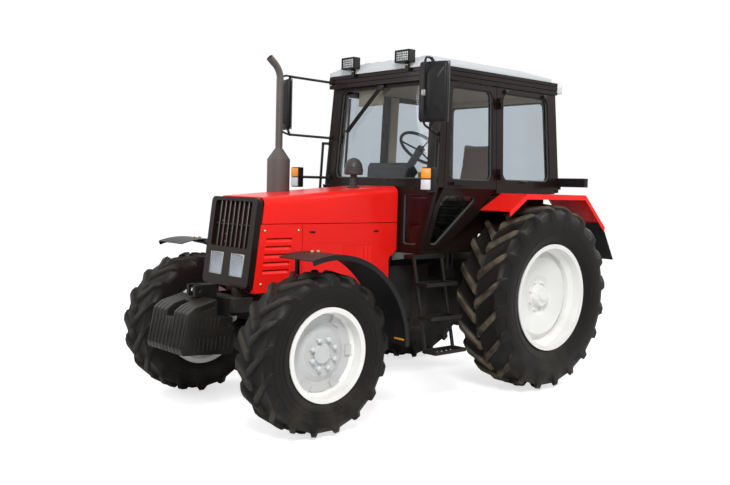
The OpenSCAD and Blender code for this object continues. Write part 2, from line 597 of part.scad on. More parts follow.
module grab_rails() color(c_black) both() {
    rod([1210, 722, 1700], [1190, 716, 2110], 12);
    translate([1210, 722, 1700]) sphere(r = 14, $fn = 20);
    translate([1190, 716, 2110]) sphere(r = 14, $fn = 20);
    rod([1210, 722, 1700], [1203, 640, 1692], 12);
    box(fire_x1 + gap, fire_x1 + 14, 622, 662, 1680, 1704);
    rod([1190, 716, 2110], [1150, 676, 2110], 12);
    leaning_front(gap, 8) translate([652, 352]) square([38, 38]);
}

// Rear couplings
module drawbar() color(c_black) difference() {
    union() {
        box(-420, -246, -120, 120, 470, 499.5);
        box(-420, -390, -120, 120, 380, 499.5);
        box(-560, -400, -45, 45, 380, 420);
        translate([-560, 0, 380]) cylinder(h = 40, r = 45);
    }
    translate([-560, 0, 370]) cylinder(h = 60, r = draw_bore_r);
}
module top_link() color(c_black) difference() {
    union() {
        rod([-365, 0, 900], [-900, 0, 985], 22);
        box(-400, -340.5, -45, 45, 860, 940);
        translate([-900, 0, 985]) rod_y(34, -26, 26);
    }
    translate([-900, 0, 985]) rod_y(top_bore_r, -40, 40);
}
module link_eye() translate([link_end.x, link_y1, link_end.y]) rotate([0, 0, -link_splay]) children();
module lower_links() color(c_black) {
    q = lift_pivot + lift_v;
    both() difference() {
        union() {
            translate([lift_pivot.x, 0, lift_pivot.y]) rod_y(52, link_y0 - 24, link_y0 + 24);
            rod([lift_pivot.x, link_y0, lift_pivot.y], [link_end.x, link_y1, link_end.y], 27);
            link_eye() rod_y(link_eye_r, -link_eye_l / 2, link_eye_l / 2);
            translate([q.x, 0, q.y]) rod_y(36, arm_y - 24, arm_y + 28);
            translate([q.x, 0, q.y]) rod_y(14, arm_y, arm_y + 72);
        }
        translate([lift_pivot.x, 0, lift_pivot.y]) rod_y(28 + run_clear, link_y0 - 40, link_y0 + 40);
        link_eye() rod_y(link_bore_r, -link_eye_l, link_eye_l);
    }
}
module lift_arms() color(c_black) {
    p = lift_pivot + lift_w;
    q = p + lift_v;
    both() difference() {
        union() {
            translate([p.x, 0, p.y]) rod_y(60, arm_y - 30, arm_y + 10);
            hull() {
                translate([p.x, 0, p.y]) rod_y(44, arm_y - 16, arm_y + 10);
                translate([q.x, 0, q.y]) rod_y(28, arm_y - 16, arm_y + 10);
            }
            translate([q.x, 0, q.y]) rod_y(14, arm_y, arm_y + 72);
        }
        translate([p.x, 0, p.y]) rod_y(34 + run_clear, arm_y - 60, arm_y + 60);
    }
}
module lift_rods() color(c_black) {
    a = lift_pivot + lift_v;
    b = a + lift_w;
    both() difference() {
        union() {
            for (p = [a, b]) translate([p.x, 0, p.y]) rod_y(30, arm_y + 40, arm_y + 66);
            rod([a.x, arm_y + 53, a.y], [b.x, arm_y + 53, b.y], 17);
        }
        for (p = [a, b]) translate([p.x, 0, p.y]) rod_y(14 + run_clear, arm_y, arm_y + 90);
    }
}

// Steered axle ends
module knuckle_left() color(c_iron) translate([wheelbase, kingpin_y, axle_z]) {
    translate([0, 0, -88]) cylinder(h = 176, r = 62);
    translate([0, 0, -128]) cylinder(h = 266, r = kingpin_r);
    rod_y(60, 0, 130);
    rod_y(100, 70, 130);
    rod_y(spindle_r, 100, front_wheel_y - kingpin_y + 70);
    box(-steer_arm, 0, -15, 15, -62, -34);
    translate([-steer_arm, 0, -62]) cylinder(h = 28, r = 17);
    translate([-steer_arm, 0, -110]) cylinder(h = 60, r = 11);
}
module knuckle_right() mirror([0, 1, 0]) knuckle_left();
module tie_rod() color(c_iron) translate([wheelbase - steer_arm, 0, axle_z - 88]) difference() {
    union() {
        rod_y(15, -kingpin_y + 10, kingpin_y - 10);
        both() translate([0, kingpin_y, -16]) cylinder(h = 32, r = 22);
    }
    both() translate([0, kingpin_y, -40]) cylinder(h = 80, r = 11 + run_clear);
}
guard_r = front_tyre_r + 112;
module front_fender_left() color(c_black) translate([wheelbase, 0, axle_z]) {
    translate([0, 1040, 0]) rotate([90, 0, 0]) rotate([0, 0, 72]) rotate_extrude(angle = 108, $fn = 72)
        translate([guard_r, 0]) square([6, 380]);
    translate([0, 1040, 0]) rotate([90, 0, 0]) rotate([0, 0, 72]) rotate_extrude(angle = 108, $fn = 72)
        translate([guard_r - 30, 0]) square([36, 8]);
    translate([0, kingpin_y, 138 + gap]) cylinder(h = 14, r = 42);
    rod([0, kingpin_y, 140], [0, kingpin_y, guard_r - 22], 18);
    rod([0, kingpin_y, guard_r - 22], [0, 830, guard_r - 14], 16);
}
module front_fender_right() mirror([0, 1, 0]) front_fender_left();

// Wheels
function polar(r, a, y) = [r * cos(a), y, r * sin(a)];
// Corner indices in a tyre's mesh with n lugs a side: rings first, then rows of four lug corners
function ring_at(n, i, j) = i * 2 * n + (j + 2 * n) % (2 * n);
function corner_at(n, g, q, k, s) = 14 * n + ((3 * g + q) * n + (k + floor(s / 4)) % n) * 4 + s % 4;
function lug_corners(q, a, side, top_w) =
    let (b = asin(q[3] * top_w / 2 / q[2]), t = asin(q[6] * top_w / 2 / q[5]))
    [polar(q[2], a - b, side * q[1]), polar(q[5], a - t, side * q[4]),
        polar(q[5], a + t, side * q[4]), polar(q[2], a + b, side * q[1])];
function strip(a0, a1, b0, b1) = [[a0, b0, b1], [a0, b1, a1]];
function turn_over(faces) = [for (t = faces) [t[2], t[1], t[0]]];
// Faces between a plain ring and a row of lug corners
function lug_fan(n, i, g, q, k) =
    let (c = [for (d = [0:2]) ring_at(n, i, 2 * k + g + d)], v = [for (s = [0:4]) corner_at(n, g, q, k, s)])
    [[c[0], v[0], v[1]], [c[0], v[1], c[1]], [c[1], v[1], v[2]],
        [c[1], v[2], v[3]], [c[1], v[3], c[2]], [c[2], v[3], v[4]]];
function lug_sides(n, g, q, k) = [for (s = [0:3])
    each strip(corner_at(n, g, q, k, s), corner_at(n, g, q, k, s + 1),
        corner_at(n, g, q + 1, k, s), corner_at(n, g, q + 1, k, s + 1))];
function ring_strip(n, i0, i1, j) =
    strip(ring_at(n, i0, j), ring_at(n, i0, j + 1), ring_at(n, i1, j), ring_at(n, i1, j + 1));
function half_faces(n, g) = [for (k = [0:n - 1]) each concat(
    lug_fan(n, 0, g, 0, k), lug_sides(n, g, 0, k), lug_sides(n, g, 1, k),
    turn_over(lug_fan(n, 1 + 3 * g, g, 2, k)),
    [for (i = [1, 2]) for (d = [0, 1]) each ring_strip(n, i + 3 * g, i + 1 + 3 * g, 2 * k + g + d)])];
// Drive tyre with n lugs a side, each from a nose at the middle to a shoulder on the side wall.
// The halves are staggered, and one lug corner stands straight below the axle.
module tyre(r, w, r_rim, h, n, top_w, sweep) {
    step = 180 / n;
    first = -90 - asin(top_w / 2 / r);
    wall = r - h - r_rim;
    side = [[r_rim + 0.66 * wall, 0.497 * w], [r_rim + 0.22 * wall, 0.475 * w],
        [(r_rim - 26) / cos(step / 2), 0.36 * w]];
    rings = concat([[r - h, 0, 0]], [for (g = [1, -1]) for (q = side) [q.x, g * q.y, sweep]]);
    rows = [[0, 0.02 * w, r - h, 1.6, 0.02 * w, r, 1],
        [0.78 * sweep, 0.39 * w, r - h - 4, 1.55, 0.4 * w, r - 0.03 * w, 1.05],
        [sweep, 0.46 * w, r - h - 34, 1.5, 0.485 * w, r - h / 2 - 24, 1.1]];
    ring_points = [for (q = rings) for (j = [0:2 * n - 1]) polar(q[0], first + q[2] + (j - 0.5) * step, q[1])];
    lug_points = [for (g = [0, 1]) for (q = rows) for (k = [0:n - 1])
        each lug_corners(q, first + q[0] + (2 * k + g) * step, 1 - 2 * g, top_w)];
    bore = [for (j = [0:2 * n - 1]) each ring_strip(n, 3, 6, j)];
    polyhedron(concat(ring_points, lug_points),
        concat(turn_over(half_faces(n, 0)), half_faces(n, 1), turn_over(bore)));
}
module rim(r, w, t) turned() {
    o = [[r, w], [r - 26, w - 12], [r - 26, w - 70], [r - 62, w - 105]];
    i = [[r, w + 9], [r - 26 - t, w + 5], [r - 26 - t, w - 72], [r - 62 - t, w - 107]];
    polygon(concat(o, [for (k = [3:-1:0]) [o[k].x, -o[k].y]], [for (k = [0:3]) [i[k].x, -i[k].y]],
        [for (k = [3:-1:0]) i[k]]));
}
module front_tyre_left() color(c_tyre) translate([wheelbase, front_wheel_y, axle_z])
    tyre(front_tyre_r, front_tyre_w, front_rim_r, front_lug_h, 17, 42, 17);
module front_tyre_right() mirror([0, 1, 0]) front_tyre_left();
module front_wheel_left() color(c_white) translate([wheelbase, front_wheel_y, axle_z]) {
    rim(front_rim_r - 0.4, front_tyre_w * 0.40 + 4, 10);
    difference() {
        union() {
            turned() polygon([[0, 58], [150, 58], [196, 40], [front_rim_r - 62, 46], [front_rim_r - 62, 58],
                [200, 53], [156, 72], [0, 72]]);
            rod_y(140, -60, 74);
            turned() polygon([[0, 70], [74, 70], [72, 84], [64, 90], [0, 90]]);
            for (k = [0:7]) rotate([0, k * 45 + 22, 0]) translate([105, 0, 0]) rod_y(13, 70, 92);
        }
        rod_y(spindle_r + run_clear, -70, 72);
    }
    for (k = [0:5]) rotate([0, k * 60, 0]) box(front_rim_r - 112, front_rim_r - 32, 36, 70, -36, 36);
}
module front_wheel_right() mirror([0, 1, 0]) front_wheel_left();
module rear_tyre_left() color(c_tyre) translate([0, rear_wheel_y, rear_z])
    tyre(rear_tyre_r, rear_tyre_w, rear_rim_r, rear_lug_h, 20, 54, 15);
module rear_tyre_right() mirror([0, 1, 0]) rear_tyre_left();
module rear_wheel_left() color(c_white) translate([0, rear_wheel_y, rear_z]) {
    rim(rear_rim_r - 0.4, rear_tyre_w * 0.40 + 4, 11);
    turned() polygon([[30, 24], [150, 24], [180, 40], [330, 66], [rear_rim_r - 72, 30],
        [rear_rim_r - 72, 44], [334, 80], [176, 54], [146, 38], [30, 38]]);
    rod_y(shaft_r, 542 - rear_wheel_y, 112);
    turned() polygon([[30, 12], [104, 12], [104, 40], [92, 48], [84, 95], [30, 95]]);
    for (k = [0:7]) rotate([0, k * 45 + 22, 0]) translate([125, 0, 0]) rod_y(14, 34, 58);
    for (k = [-1, 1]) box(-86, 86, 44, 88, k * 20 - 8, k * 20 + 8);
}
module rear_wheel_right() mirror([0, 1, 0]) rear_wheel_left();

// Doors
door_x0 = pillar_x1 + door_gap;
function door_front(s) = front_in(s) - door_gap;
door_top_s = top_s - 4;
handle_x = door_front(0) - 230;
module door_upper() polygon([[door_x0, -8], [door_front(0) - 8, -8], [door_front(0), 4],
    [door_front(door_top_s), door_top_s], [door_x0, door_top_s]]);
module door_lower() polygon([[door_x0 + 2, 0], [door_x0 + 2, -14], diag_top, diag_low,
    [fire_x0 - 10, -(sill_z - floor_z - 40) / cos(low_lean)], [fire_x0 - 10, -150], [door_front(0) - 2, 0]]);
upper_hole = [[door_x0 + 52, 62], [door_front(62) - 52, 62], [door_front(top_s - 44) - 52, top_s - 44],
    [door_x0 + 52, top_s - 44]];
lower_hole = [[620, -70], [door_front(0) - 40, -70], [fire_x0 - 62, -160], [fire_x0 - 62, -500], [1000, -500]];
module door_left() color(c_dark) {
    difference() {
        union() {
            upper_side() door_upper();
            lower_side() door_lower();
        }
        upper_side(wall_t + 20, -10) polygon(rounded(upper_hole, 60, 5));
        lower_side(wall_t + 20, -10) polygon(rounded(lower_hole, 40, 4));
    }
    for (x = [handle_x, handle_x + 124]) upper_side(36, -30) translate([x, 22]) square([16, 20]);
    upper_side(12, -38) polygon(rounded([[handle_x - 12, 18], [handle_x + 152, 18], [handle_x + 152, 46],
        [handle_x - 12, 46]], 8, 3));
    hinge_axis() for (s = [120, 720]) difference() {
        union() {
            translate([0, 0, s]) cylinder(h = 44, r = 15);
            box(0, 24, -hinge_out + 2, 6, s, s + 44);
            box(0, 64, -hinge_out + 2, -hinge_out + 9, s, s + 44);
            box(door_x0 - hinge_x + 3, 60, -hinge_out - 8, -hinge_out + 5, s, s + 44);
        }
        translate([0, 0, s - 10]) cylinder(h = 70, r = 8 + run_clear);
    }
}
module door_right() mirror([0, 1, 0]) door_left();
module door_glass_left() color(c_glass) {
    upper_side(6, 22) polygon(rounded([[upper_hole[0].x + 0.3, 62.3], [upper_hole[1].x - 0.3, 62.3],
        [upper_hole[2].x - 0.3, top_s - 44.3], [upper_hole[3].x + 0.3, top_s - 44.3]], 59.7, 5));
    lower_side(6, 22) polygon(rounded([[621, -70.3], [lower_hole[1].x - 0.3, -70.3],
        [fire_x0 - 62.3, -160], [fire_x0 - 62.3, -499.7], [1000.4, -499.7]], 39.7, 4));
}
module door_glass_right() mirror([0, 1, 0]) door_glass_left();

module placed() translate([-x_mid, 0, 0]) children();

placed() front_frame();
placed() engine();
placed() transmission();
placed() rear_axle();
placed() front_axle();
placed() drive_shaft();
placed() radiator();
placed() front_weights();
placed() weight_carrier();
placed() grille();
placed() headlamps();
placed() bonnet_top();
placed() bonnet_cover();
placed() bonnet_sides();
placed() exhaust();
placed() precleaner();
placed() cab_mounts();
placed() cab_tub();
placed() firewall();
placed() firewall_glass();
placed() windscreen_frame();
placed() windscreen();
placed() rear_wall();
placed() rear_glass();
placed() quarter_frames();
placed() quarter_glass();
placed() roof_frame();
placed() roof_cap();
placed() dash();
placed() seat();
placed() steering_wheel();
placed() rear_fenders();
placed() mud_flaps();
placed() steps();
placed() mirrors();
placed() lamps();
placed() indicators();
placed() grab_rails();
placed() drawbar();
placed() top_link();
placed() lower_links();
placed() lift_arms();
placed() lift_rods();
placed() tie_rod();
placed() knuckle_left();
placed() knuckle_right();
placed() front_fender_left();
placed() front_fender_right();
placed() front_tyre_left();
placed() front_wheel_left();
placed() front_tyre_right();
placed() front_wheel_right();
placed() rear_tyre_left();
placed() rear_wheel_left();
placed() rear_tyre_right();
placed() rear_wheel_right();
placed() door_left();
placed() door_right();
placed() door_glass_left();
placed() door_glass_right();
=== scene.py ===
"""Farm tractor: finishes, lamps, seals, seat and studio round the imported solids."""

import math

import bpy
from mathutils import Matrix, Vector


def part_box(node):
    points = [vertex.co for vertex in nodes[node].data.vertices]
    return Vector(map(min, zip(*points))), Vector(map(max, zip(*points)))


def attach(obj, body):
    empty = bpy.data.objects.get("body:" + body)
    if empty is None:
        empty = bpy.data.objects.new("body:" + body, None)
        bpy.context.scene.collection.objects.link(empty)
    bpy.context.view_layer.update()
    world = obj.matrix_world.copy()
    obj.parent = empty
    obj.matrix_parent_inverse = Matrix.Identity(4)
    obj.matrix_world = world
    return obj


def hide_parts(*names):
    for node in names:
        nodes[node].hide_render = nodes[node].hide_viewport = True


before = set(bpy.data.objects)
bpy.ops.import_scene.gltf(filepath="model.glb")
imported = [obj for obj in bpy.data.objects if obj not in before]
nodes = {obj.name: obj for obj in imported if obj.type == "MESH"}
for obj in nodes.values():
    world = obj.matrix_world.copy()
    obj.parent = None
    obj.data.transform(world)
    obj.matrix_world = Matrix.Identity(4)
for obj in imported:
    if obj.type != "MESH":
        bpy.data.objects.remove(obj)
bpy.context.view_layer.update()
scene = bpy.context.scene
SIDES = (("left", 1), ("right", -1))

# Places are millimetres from the rear axle, as on the drawing, and become metres here
REAR_HUB = sum(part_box("rear_wheel_left"), Vector()) / 2
FRONT_HUB = sum(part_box("front_wheel_left"), Vector()) / 2
SILL_Z = 1740
SCREEN_X = 1163
SCREEN_LEAN = math.tan(math.radians(3.6))
SIDE_LEAN = math.radians(2.3)


def place(x, y, z):
    return Vector((REAR_HUB.x + x / 1000, y / 1000, z / 1000))


# Shared effects, each one a node group
def make_group(name, inputs, outputs):
    group = bpy.data.node_groups.new(name, "ShaderNodeTree")
    for label, kind, value in inputs:
        socket = group.interface.new_socket(label, in_out="INPUT", socket_type=kind)
        socket.default_value = value
    for label, kind in outputs:
        group.interface.new_socket(label, in_out="OUTPUT", socket_type=kind)
    return group, group.nodes.new("NodeGroupInput"), group.nodes.new("NodeGroupOutput")


def add_math(tree, operation, first, second, third=None):
    node = tree.nodes.new("ShaderNodeMath")
    node.operation = operation
    node.use_clamp = operation in ("MULTIPLY", "MULTIPLY_ADD", "SUBTRACT")
    for socket, value in zip(node.inputs, (first, second, third)):
        if value is None:
            continue
        if isinstance(value, (int, float)):
            socket.default_value = value
        else:
            tree.links.new(value, socket)
    return node.outputs[0]


def add_noise(tree, scale, detail):
    coordinates = tree.nodes.new("ShaderNodeTexCoord")
    noise = tree.nodes.new("ShaderNodeTexNoise")
    noise.inputs["Detail"].default_value = detail
    tree.links.new(coordinates.outputs["Object"], noise.inputs["Vector"])
    if isinstance(scale, (int, float)):
        noise.inputs["Scale"].default_value = scale
    else:
        tree.links.new(scale, noise.inputs["Scale"])
    return noise.outputs["Fac"]


def add_range(tree, value, low, high):
    node = tree.nodes.new("ShaderNodeMapRange")
    node.inputs["From Min"].default_value = low
    node.inputs["From Max"].default_value = high
    tree.links.new(value, node.inputs["Value"])
    return node.outputs["Result"]


def grain_group():
    """Fine unevenness: a value for colour and gloss, and a bumped normal."""
    group, inside, outside = make_group(
        "Surface grain",
        [("Scale", "NodeSocketFloat", 200.0), ("Depth", "NodeSocketFloat", 0.1)],
        [("Value", "NodeSocketFloat"), ("Normal", "NodeSocketVector")])
    fine = add_noise(group, inside.outputs["Scale"], 4.0)
    bump = group.nodes.new("ShaderNodeBump")
    bump.inputs["Distance"].default_value = 0.002
    group.links.new(inside.outputs["Depth"], bump.inputs["Strength"])
    group.links.new(fine, bump.inputs["Height"])
    group.links.new(add_noise(group, 2.3, 5.0), outside.inputs["Value"])
    group.links.new(bump.outputs["Normal"], outside.inputs["Normal"])
    return group


def wear_group():
    """Mask of rubbed edges, broken up by noise."""
    group, inside, outside = make_group(
        "Edge wear", [("Radius", "NodeSocketFloat", 0.006)], [("Mask", "NodeSocketFloat")])
    soft = group.nodes.new("ShaderNodeBevel")
    soft.samples = 4
    group.links.new(inside.outputs["Radius"], soft.inputs["Radius"])
    flat = group.nodes.new("ShaderNodeNewGeometry")
    dot = group.nodes.new("ShaderNodeVectorMath")
    dot.operation = "DOT_PRODUCT"
    group.links.new(soft.outputs["Normal"], dot.inputs[0])
    group.links.new(flat.outputs["Normal"], dot.inputs[1])
    edge = add_math(group, "SUBTRACT", 1.0, dot.outputs["Value"])
    broken = add_range(group, add_noise(group, 45.0, 4.0), 0.42, 0.68)
    strong = add_math(group, "MULTIPLY", edge, 3.0)
    group.links.new(add_math(group, "MULTIPLY", strong, broken), outside.inputs["Mask"])
    return group


def dust_group():
    """Mask of dust on faces that look up and near the ground."""
    group, inside, outside = make_group(
        "Settled dust", [("Reach", "NodeSocketFloat", 1.2)], [("Mask", "NodeSocketFloat")])
    geometry = group.nodes.new("ShaderNodeNewGeometry")
    normal = group.nodes.new("ShaderNodeSeparateXYZ")
    group.links.new(geometry.outputs["Normal"], normal.inputs[0])
    coordinates = group.nodes.new("ShaderNodeTexCoord")
    spot = group.nodes.new("ShaderNodeSeparateXYZ")
    group.links.new(coordinates.outputs["Object"], spot.inputs[0])
    low = group.nodes.new("ShaderNodeMapRange")
    low.inputs["To Min"].default_value = 1.0
    low.inputs["To Max"].default_value = 0.0
    group.links.new(spot.outputs["Z"], low.inputs["Value"])
    group.links.new(inside.outputs["Reach"], low.inputs["From Max"])
    up = add_range(group, normal.outputs["Z"], 0.2, 1.0)
    both = add_math(group, "MULTIPLY_ADD", up, 0.5, low.outputs["Result"])
    patches = add_range(group, add_noise(group, 7.0, 6.0), 0.35, 0.75)
    group.links.new(add_math(group, "MULTIPLY", both, patches), outside.inputs["Mask"])
    return group


GRAIN, WEAR, DUST = grain_group(), wear_group(), dust_group()
DUST_COLOUR = (0.34, 0.29, 0.22, 1)


def place_group(tree, group, **values):
    node = tree.nodes.new("ShaderNodeGroup")
    node.node_tree = group
    for label, value in values.items():
        node.inputs[label].default_value = value
    return node


def mix_colour(tree, mask, first, second):
    node = tree.nodes.new("ShaderNodeMix")
    node.data_type = "RGBA"
    tree.links.new(mask, node.inputs[0])
    for socket, value in ((node.inputs[6], first), (node.inputs[7], second)):
        if isinstance(value, tuple):
            socket.default_value = value
        else:
            tree.links.new(value, socket)
    return node.outputs[2]


def shade(colour, factor):
    return tuple(min(1.0, channel * factor) for channel in colour) + (1,)


def start_material(name):
    material = bpy.data.materials.new(name)
    material.use_nodes = True
    return material, material.node_tree, material.node_tree.nodes["Principled BSDF"]


def painted(name, colour, rough, metal=0.0, coat=0.0, mottle=0.1, scale=240.0, depth=0.05,
            worn=(0.3, 0.28, 0.26), wear=0.35, dust=0.25, specular=0.25, inner=None):
    """Coated surface; inner is (hub, radius, colour) of a disc in another colour round an axle."""
    material, tree, shader = start_material(name)
    grain = place_group(tree, GRAIN, Scale=scale, Depth=depth)
    value = grain.outputs["Value"]
    base = mix_colour(tree, value, shade(colour, 1 - mottle), shade(colour, 1 + mottle))
    if inner:
        hub, radius, disc = inner
        disc_base = mix_colour(tree, value, shade(disc, 1 - mottle), shade(disc, 1 + mottle))
        outside = add_range(tree, axle_distance(tree, hub), radius, radius + 0.002)
        base = mix_colour(tree, outside, disc_base, base)
    rubbed = add_math(tree, "MULTIPLY", place_group(tree, WEAR).outputs["Mask"], wear)
    base = mix_colour(tree, rubbed, base, worn + (1,))
    film = add_math(tree, "MULTIPLY", place_group(tree, DUST).outputs["Mask"], dust)
    base = mix_colour(tree, film, base, DUST_COLOUR)
    tree.links.new(base, shader.inputs["Base Color"])
    gloss = add_math(tree, "MULTIPLY_ADD", value, 0.12, rough - 0.06)
    tree.links.new(add_math(tree, "MULTIPLY_ADD", film, 0.4, gloss), shader.inputs["Roughness"])
    tree.links.new(grain.outputs["Normal"], shader.inputs["Normal"])
    shader.inputs["Metallic"].default_value = metal
    shader.inputs["Coat Weight"].default_value = coat
    shader.inputs["Coat Roughness"].default_value = 0.08
    shader.inputs["Specular IOR Level"].default_value = specular
    return material


def axle_distance(tree, hub):
    """Distance from a wheel's axle, which runs along Y."""
    coordinates = tree.nodes.new("ShaderNodeTexCoord")
    shift = tree.nodes.new("ShaderNodeMapping")
    shift.inputs["Location"].default_value = (-hub.x, 0, -hub.z)
    shift.inputs["Scale"].default_value = (1, 0, 1)
    tree.links.new(coordinates.outputs["Object"], shift.inputs["Vector"])
    length = tree.nodes.new("ShaderNodeVectorMath")
    length.operation = "LENGTH"
    tree.links.new(shift.outputs["Vector"], length.inputs[0])
    return length.outputs["Value"]


def tyre_rubber(name, hub, tread_radius, soil_colour):
    """Black rubber, its lug tops browned by soil."""
    material, tree, shader = start_material(name)
    grain = place_group(tree, GRAIN, Scale=380.0, Depth=0.18)
    base = mix_colour(tree, grain.outputs["Value"], (0.007, 0.006, 0.0055, 1),
                      (0.015, 0.013, 0.012, 1))
    tread = add_range(tree, axle_distance(tree, hub), tread_radius - 0.004, tread_radius + 0.006)
    soil = add_math(tree, "MULTIPLY", tread, add_range(tree, add_noise(tree, 9.0, 6.0), 0.3, 0.8))
    base = mix_colour(tree, soil, base, soil_colour)
    film = add_math(tree, "MULTIPLY", place_group(tree, DUST, Reach=0.5).outputs["Mask"], 0.1)
    tree.links.new(mix_colour(tree, film, base, DUST_COLOUR), shader.inputs["Base Color"])
    tree.links.new(add_math(tree, "MULTIPLY_ADD", soil, 0.25, 0.42), shader.inputs["Roughness"])
    tree.links.new(grain.outputs["Normal"], shader.inputs["Normal"])
    shader.inputs["Specular IOR Level"].default_value = 0.12
    return material


def clear_glass(name, tint, rough, depth=0.0):
    material, tree, shader = start_material(name)
    grain = place_group(tree, GRAIN, Scale=30.0, Depth=depth)
    tree.links.new(mix_colour(tree, grain.outputs["Value"], shade(tint, 0.94), shade(tint, 1.04)),
                   shader.inputs["Base Color"])
    tree.links.new(add_math(tree, "MULTIPLY_ADD", grain.outputs["Value"], 0.04, rough),
                   shader.inputs["Roughness"])
    tree.links.new(grain.outputs["Normal"], shader.inputs["Normal"])
    shader.inputs["Transmission Weight"].default_value = 1.0
    shader.inputs["IOR"].default_value = 1.3
    return material


def woven_cloth(name, colour):
    """Seat cloth with a two-way weave."""
    material, tree, shader = start_material(name)
    coordinates = tree.nodes.new("ShaderNodeTexCoord")
    threads = []
    for direction in ("X", "Y"):
        wave = tree.nodes.new("ShaderNodeTexWave")
        wave.bands_direction = direction
        wave.inputs["Scale"].default_value = 160.0
        wave.inputs["Distortion"].default_value = 1.2
        tree.links.new(coordinates.outputs["Object"], wave.inputs["Vector"])
        threads.append(wave.outputs["Fac"])
    weave = add_math(tree, "MULTIPLY", threads[0], threads[1])
    grain = place_group(tree, GRAIN, Scale=90.0, Depth=0.1)
    base = mix_colour(tree, grain.outputs["Value"], shade(colour, 0.75), shade(colour, 1.2))
    tree.links.new(mix_colour(tree, weave, base, shade(colour, 1.35)), shader.inputs["Base Color"])
    bump = tree.nodes.new("ShaderNodeBump")
    bump.inputs["Distance"].default_value = 0.001
    tree.links.new(weave, bump.inputs["Height"])
    tree.links.new(bump.outputs["Normal"], shader.inputs["Normal"])
    shader.inputs["Roughness"].default_value = 0.9
    shader.inputs["Sheen Weight"].default_value = 0.3
    return material


# Radii in metres: tread between the lugs, and the front wheel's grey disc
FRONT_TREAD, REAR_TREAD = 0.548, 0.778
FRONT_DISC = 0.272
red = painted("red_enamel", (0.84, 0.012, 0.008), 0.3, coat=0.06, mottle=0.04,
              worn=(0.45, 0.02, 0.02), wear=0.3, dust=0.04, specular=0.2)
cab_dark = painted("cab_brown_black", (0.012, 0.007, 0.006), 0.28, coat=0.1,
                   worn=(0.05, 0.04, 0.036), dust=0.04, specular=0.1)
black = painted("chassis_black", (0.009, 0.008, 0.0075), 0.36,
                worn=(0.09, 0.08, 0.07), dust=0.08, specular=0.18)
iron = painted("cast_iron", (0.02, 0.018, 0.017), 0.55, mottle=0.25, scale=120.0, depth=0.3,
               dust=0.15, specular=0.15)
RIM_WHITE = (0.8, 0.8, 0.78)
DISC_GREY = (0.52, 0.53, 0.53)
white_rim = painted("rim_white", RIM_WHITE, 0.35, coat=0.3, mottle=0.03, wear=0.25, dust=0.22)
grey_disc = painted("rim_white_grey_disc", RIM_WHITE, 0.35, coat=0.3, mottle=0.03, wear=0.25, dust=0.22,
                    inner=(FRONT_HUB, FRONT_DISC, DISC_GREY))
roof_white = painted("roof_white", (0.55, 0.58, 0.6), 0.42, mottle=0.03, worn=(0.5, 0.5, 0.48), dust=0.1)
plastic = painted("black_plastic", (0.009, 0.009, 0.0095), 0.4, scale=600.0, depth=0.15,
                  worn=(0.04, 0.04, 0.04), dust=0.05, specular=0.18)
grey_plastic = painted("grey_plastic", (0.05, 0.052, 0.056), 0.5, scale=600.0, depth=0.2,
                       worn=(0.2, 0.2, 0.2))
seal_rubber = painted("seal_rubber", (0.035, 0.036, 0.038), 0.6, scale=420.0, depth=0.15,
                      worn=(0.1, 0.1, 0.1))
flap_rubber = painted("flap_rubber", (0.014, 0.014, 0.014), 0.75, scale=160.0, depth=0.25, dust=0.5)
burnt = painted("burnt_steel", (0.1, 0.088, 0.082), 0.5, metal=0.3, mottle=0.3, scale=90.0, depth=0.25)
core_rust = painted("radiator_core", (0.14, 0.022, 0.018), 0.6, scale=500.0, depth=0.4, dust=0.2)
cleaner_grey = painted("precleaner_grey", (0.045, 0.042, 0.044), 0.4, scale=500.0, depth=0.1)
bar_edge = painted("bar_edge_bright", (0.3, 0.3, 0.29), 0.35, metal=0.8, mottle=0.2,
                   wear=0.0, dust=0.05)
zinc = painted("zinc_plate", (0.55, 0.48, 0.3), 0.35, metal=0.9, scale=300.0, depth=0.1, dust=0.15)
chrome = painted("bright_chrome", (0.82, 0.83, 0.84), 0.14, metal=1.0, mottle=0.03,
                 dust=0.08, wear=0.0)
reflector = painted("lamp_reflector", (0.36, 0.38, 0.41), 0.3, metal=1.0, mottle=0.25,
                    scale=60.0, depth=0.2, wear=0.0, dust=0.08)
lining = painted("tan_lining", (0.66, 0.55, 0.38), 0.8, scale=700.0, depth=0.3, wear=0.0, dust=0.05)
amber = painted("amber_lens", (0.85, 0.3, 0.02), 0.2, coat=0.6, mottle=0.08, scale=260.0,
                depth=0.12, wear=0.0, dust=0.1)
red_lens = painted("red_lens", (0.55, 0.015, 0.01), 0.2, coat=0.6, mottle=0.08, scale=260.0,
                   depth=0.12, wear=0.0)
pale_lens = painted("pale_lens", (0.6, 0.62, 0.64), 0.2, coat=0.3, mottle=0.05,
                    scale=260.0, depth=0.15, wear=0.0, dust=0.06)
yellow = painted("yellow_knob", (0.75, 0.45, 0.02), 0.4, mottle=0.05)
DARK_SOIL = (0.05, 0.045, 0.038, 1)
PALE_SOIL = (0.15, 0.125, 0.085, 1)
front_rubber = tyre_rubber("front_tyre_rubber", FRONT_HUB, FRONT_TREAD, DARK_SOIL)
rear_rubber = tyre_rubber("rear_tyre_rubber", REAR_HUB, REAR_TREAD, PALE_SOIL)
pane = clear_glass("pane_glass", (0.65, 0.69, 0.72), 0.0)
lamp_glass = clear_glass("lamp_glass", (0.86, 0.9, 0.93), 0.05, depth=0.1)
seat_cloth = woven_cloth("seat_cloth", (0.2, 0.105, 0.07))

